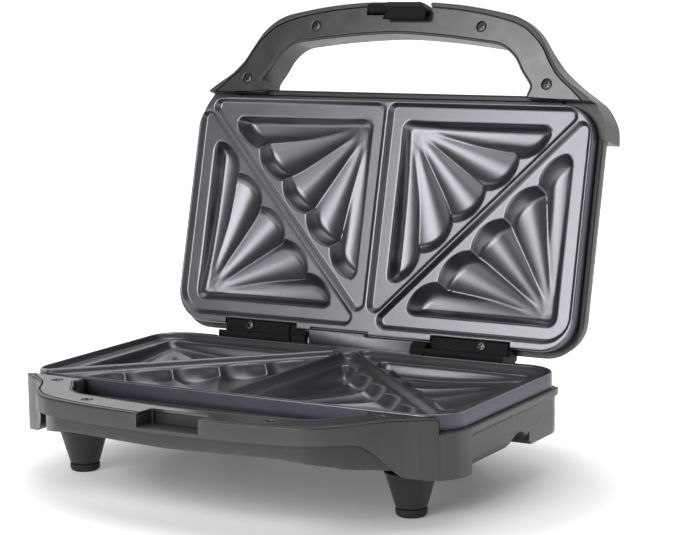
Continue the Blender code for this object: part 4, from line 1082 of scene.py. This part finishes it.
def make_lenses_and_bush():
    """The two domed lenses on the lid, and the ribbed bush in the rear wall."""
    for (u, s), colour in zip(LENS_SPOTS, ("red", "green")):
        wide = LENS_RADIUS
        angles = [math.radians(a) for a in (15, 30, 45, 60, 75, 90)]
        dome = [(0, -0.6)] + [(wide * math.sin(a), -0.6 + 0.8 * (1 - math.cos(a))) for a in angles]
        dome += [(wide, 2.8), (0, 2.8)]
        thing = turned(dome, at(u, s, LID_TOP), (0, 0, 1), 44, f"domed_{colour}_lens")
        place(shade(thing, 40), "lid", colour, f"{colour}_lens", [f"{colour}_lens"])
    u, d = INLET_SPOT
    wide, wall = INLET_RADIUS, CASE_REAR + 2.0
    profile = [(0, 0), (wide, 0), (wide, 8.0), (wide + 1.8, 8.3), (wide + 2.0, 8.6), (wide + 1.9, 9.2),
               (wide + 1.5, 9.5), (wide + 1.6, 9.9), (wide + 1.2, 10.5), (2.9, 10.5), (2.6, 10.2),
               (2.6, 1.0), (0, 1.0)]
    bush = turned(profile, at(u, wall + 8, d), (0, 1, 0), 44, "ribbed_bush")
    place(shade(bush, 40), "base", "black", "black_plastic", ["cord_inlet"])


# Light and stage


def make_world():
    """A pale room: white behind the object, dimmer round the camera."""
    world = bpy.data.worlds.new("studio")
    scene.world = world
    world.use_nodes = True
    nodes = Nodes(world.node_tree)
    back = world.node_tree.nodes["Background"]
    out = world.node_tree.nodes["World Output"]
    where = nodes.add("ShaderNodeTexCoord").outputs["Generated"]
    axes = nodes.add("ShaderNodeSeparateXYZ", Vector=where).outputs
    behind = nodes.ramp(nodes.math("MULTIPLY_ADD", axes[1], 0.5, 0.5), [(0.5, 0.08), (0.75, 1.0)])
    nodes.link(behind, back.inputs["Color"])
    back.inputs["Strength"].default_value = 0.5
    white = nodes.add("ShaderNodeBackground", Color=(1, 1, 1, 1), Strength=1.0)
    rays = nodes.add("ShaderNodeLightPath").outputs
    shine = nodes.math("MULTIPLY", rays["Is Glossy Ray"], behind)
    seen = nodes.math("MAXIMUM", rays["Is Camera Ray"], rays["Is Transmission Ray"])
    clear = nodes.math("MAXIMUM", seen, shine)
    mix = nodes.add("ShaderNodeMixShader", _0=clear, _1=back.outputs[0], _2=white.outputs[0])
    nodes.link(mix.outputs[0], out.inputs["Surface"])


def make_floor():
    """A pale table top, kept white by a glow that camera and glossy rays see; the glow is lowered in an
    oval round the object as a painted shadow, added to the real shadows.
    """
    bm = bmesh.new()
    rings, spokes = 14, 48
    hub = bm.verts.new((0, 0, 0))
    last = None
    for ring in range(1, rings + 1):
        radius = 0.12 * 1.38 ** ring
        turns = [math.tau * k / spokes for k in range(spokes)]
        verts = [bm.verts.new((radius * math.cos(a), radius * math.sin(a), 0)) for a in turns]
        for k in range(spokes):
            after = (k + 1) % spokes
            if last is None:
                bm.faces.new((hub, verts[k], verts[after]))
            else:
                bm.faces.new((last[k], verts[k], verts[after], last[after]))
        last = verts
    mesh = bpy.data.meshes.new("floor")
    bm.to_mesh(mesh)
    bm.free()
    floor = bpy.data.objects.new("floor", mesh)
    scene.collection.objects.link(floor)
    material = bpy.data.materials.new("pale_floor")
    material.use_nodes = True
    nodes = Nodes(material.node_tree)
    shader = material.node_tree.nodes["Principled BSDF"]
    shader.inputs["Base Color"].default_value = (0.78, 0.78, 0.79, 1)
    shader.inputs["Roughness"].default_value = 0.55
    shader.inputs["Specular IOR Level"].default_value = 0.2
    rays = nodes.add("ShaderNodeLightPath").outputs
    seen = nodes.math("MAXIMUM", nodes.math("MAXIMUM", rays["Is Camera Ray"], rays["Is Glossy Ray"]),
                      rays["Is Transmission Ray"])
    where = nodes.add("ShaderNodeTexCoord").outputs["Object"]
    painted_shadow_oval = nodes.add("ShaderNodeMapping", Vector=where, Location=(-0.02, 0.02, 0),
                     Scale=(0.8, 1.0, 1.0)).outputs[0]
    distance_from_shadow_centre = nodes.add("ShaderNodeVectorMath", operation="LENGTH", _0=painted_shadow_oval).outputs["Value"]
    # Painted shadow: the glow falls from full white at 0.22 m to a grey at the object's middle.
    level = nodes.ramp(distance_from_shadow_centre, [(0.08, 0.10), (0.13, 0.38), (0.17, 0.86), (0.22, 1.0)])
    glow_with_painted_shadow = nodes.add("ShaderNodeEmission", Color=level, Strength=seen)
    both = nodes.add("ShaderNodeAddShader", _0=shader.outputs[0], _1=glow_with_painted_shadow.outputs[0])
    nodes.link(both.outputs[0], material.node_tree.nodes["Material Output"].inputs["Surface"])
    mesh.materials.append(material)


def make_lamp(name, spot, target, size, energy, colour=(1, 1, 1)):
    data = bpy.data.lights.new(name, "AREA")
    data.shape = "RECTANGLE"
    data.size, data.size_y = size
    data.energy = energy
    data.color = colour
    lamp = bpy.data.objects.new(name, data)
    lamp.location = spot
    lamp.rotation_euler = (Vector(target) - Vector(spot)).to_track_quat("-Z", "Y").to_euler()
    scene.collection.objects.link(lamp)


def make_lights():
    centre = (0, 0, 0.12)
    make_lamp("overhead", (0.1, 0.3, 2.0), centre, (1.8, 1.4), 13)
    make_lamp("key_left", (-0.26, -1.80, 0.76), (0, 0.05, 0.15), (1.4, 0.9), 24)
    make_lamp("fill_right", (2.1, -0.5, 0.8), centre, (0.8, 1.4), 2.2)


scene.view_settings.view_transform = "Standard"
make_camera()
make_world()
make_floor()
make_lights()

FINISH_OF = {
    "base_housing": "housing", "lid_housing": "housing", "base_handle_cover": "housing",
    "lid_handle_cover": "face", "lower_element": "steel", "upper_element": "steel",
    "lower_reflector": "sheet", "upper_reflector": "sheet", "cord_inlet": "black", "thermostat": "black",
    "thermal_fuse": "sheet", "terminal_block": "black", "latch": "black", "latch_spring": "steel",
    "red_lens": "red", "green_lens": "green", "red_lamp": "steel", "green_lamp": "steel",
}
FINISH_BY_WORD = [("screw", "steel"), ("pad", "rubber"), ("pin", "steel"), ("plate", "plate")]
for name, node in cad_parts.items():
    key = FINISH_OF.get(name)
    if key is None:
        key = next((k for word, k in FINISH_BY_WORD if word in name), "black")
    use(node, key)
    shade(node)

make_plates()
make_casings()
make_screws()
make_hinge_covers()
make_latch()
make_feet()
make_lenses_and_bush()
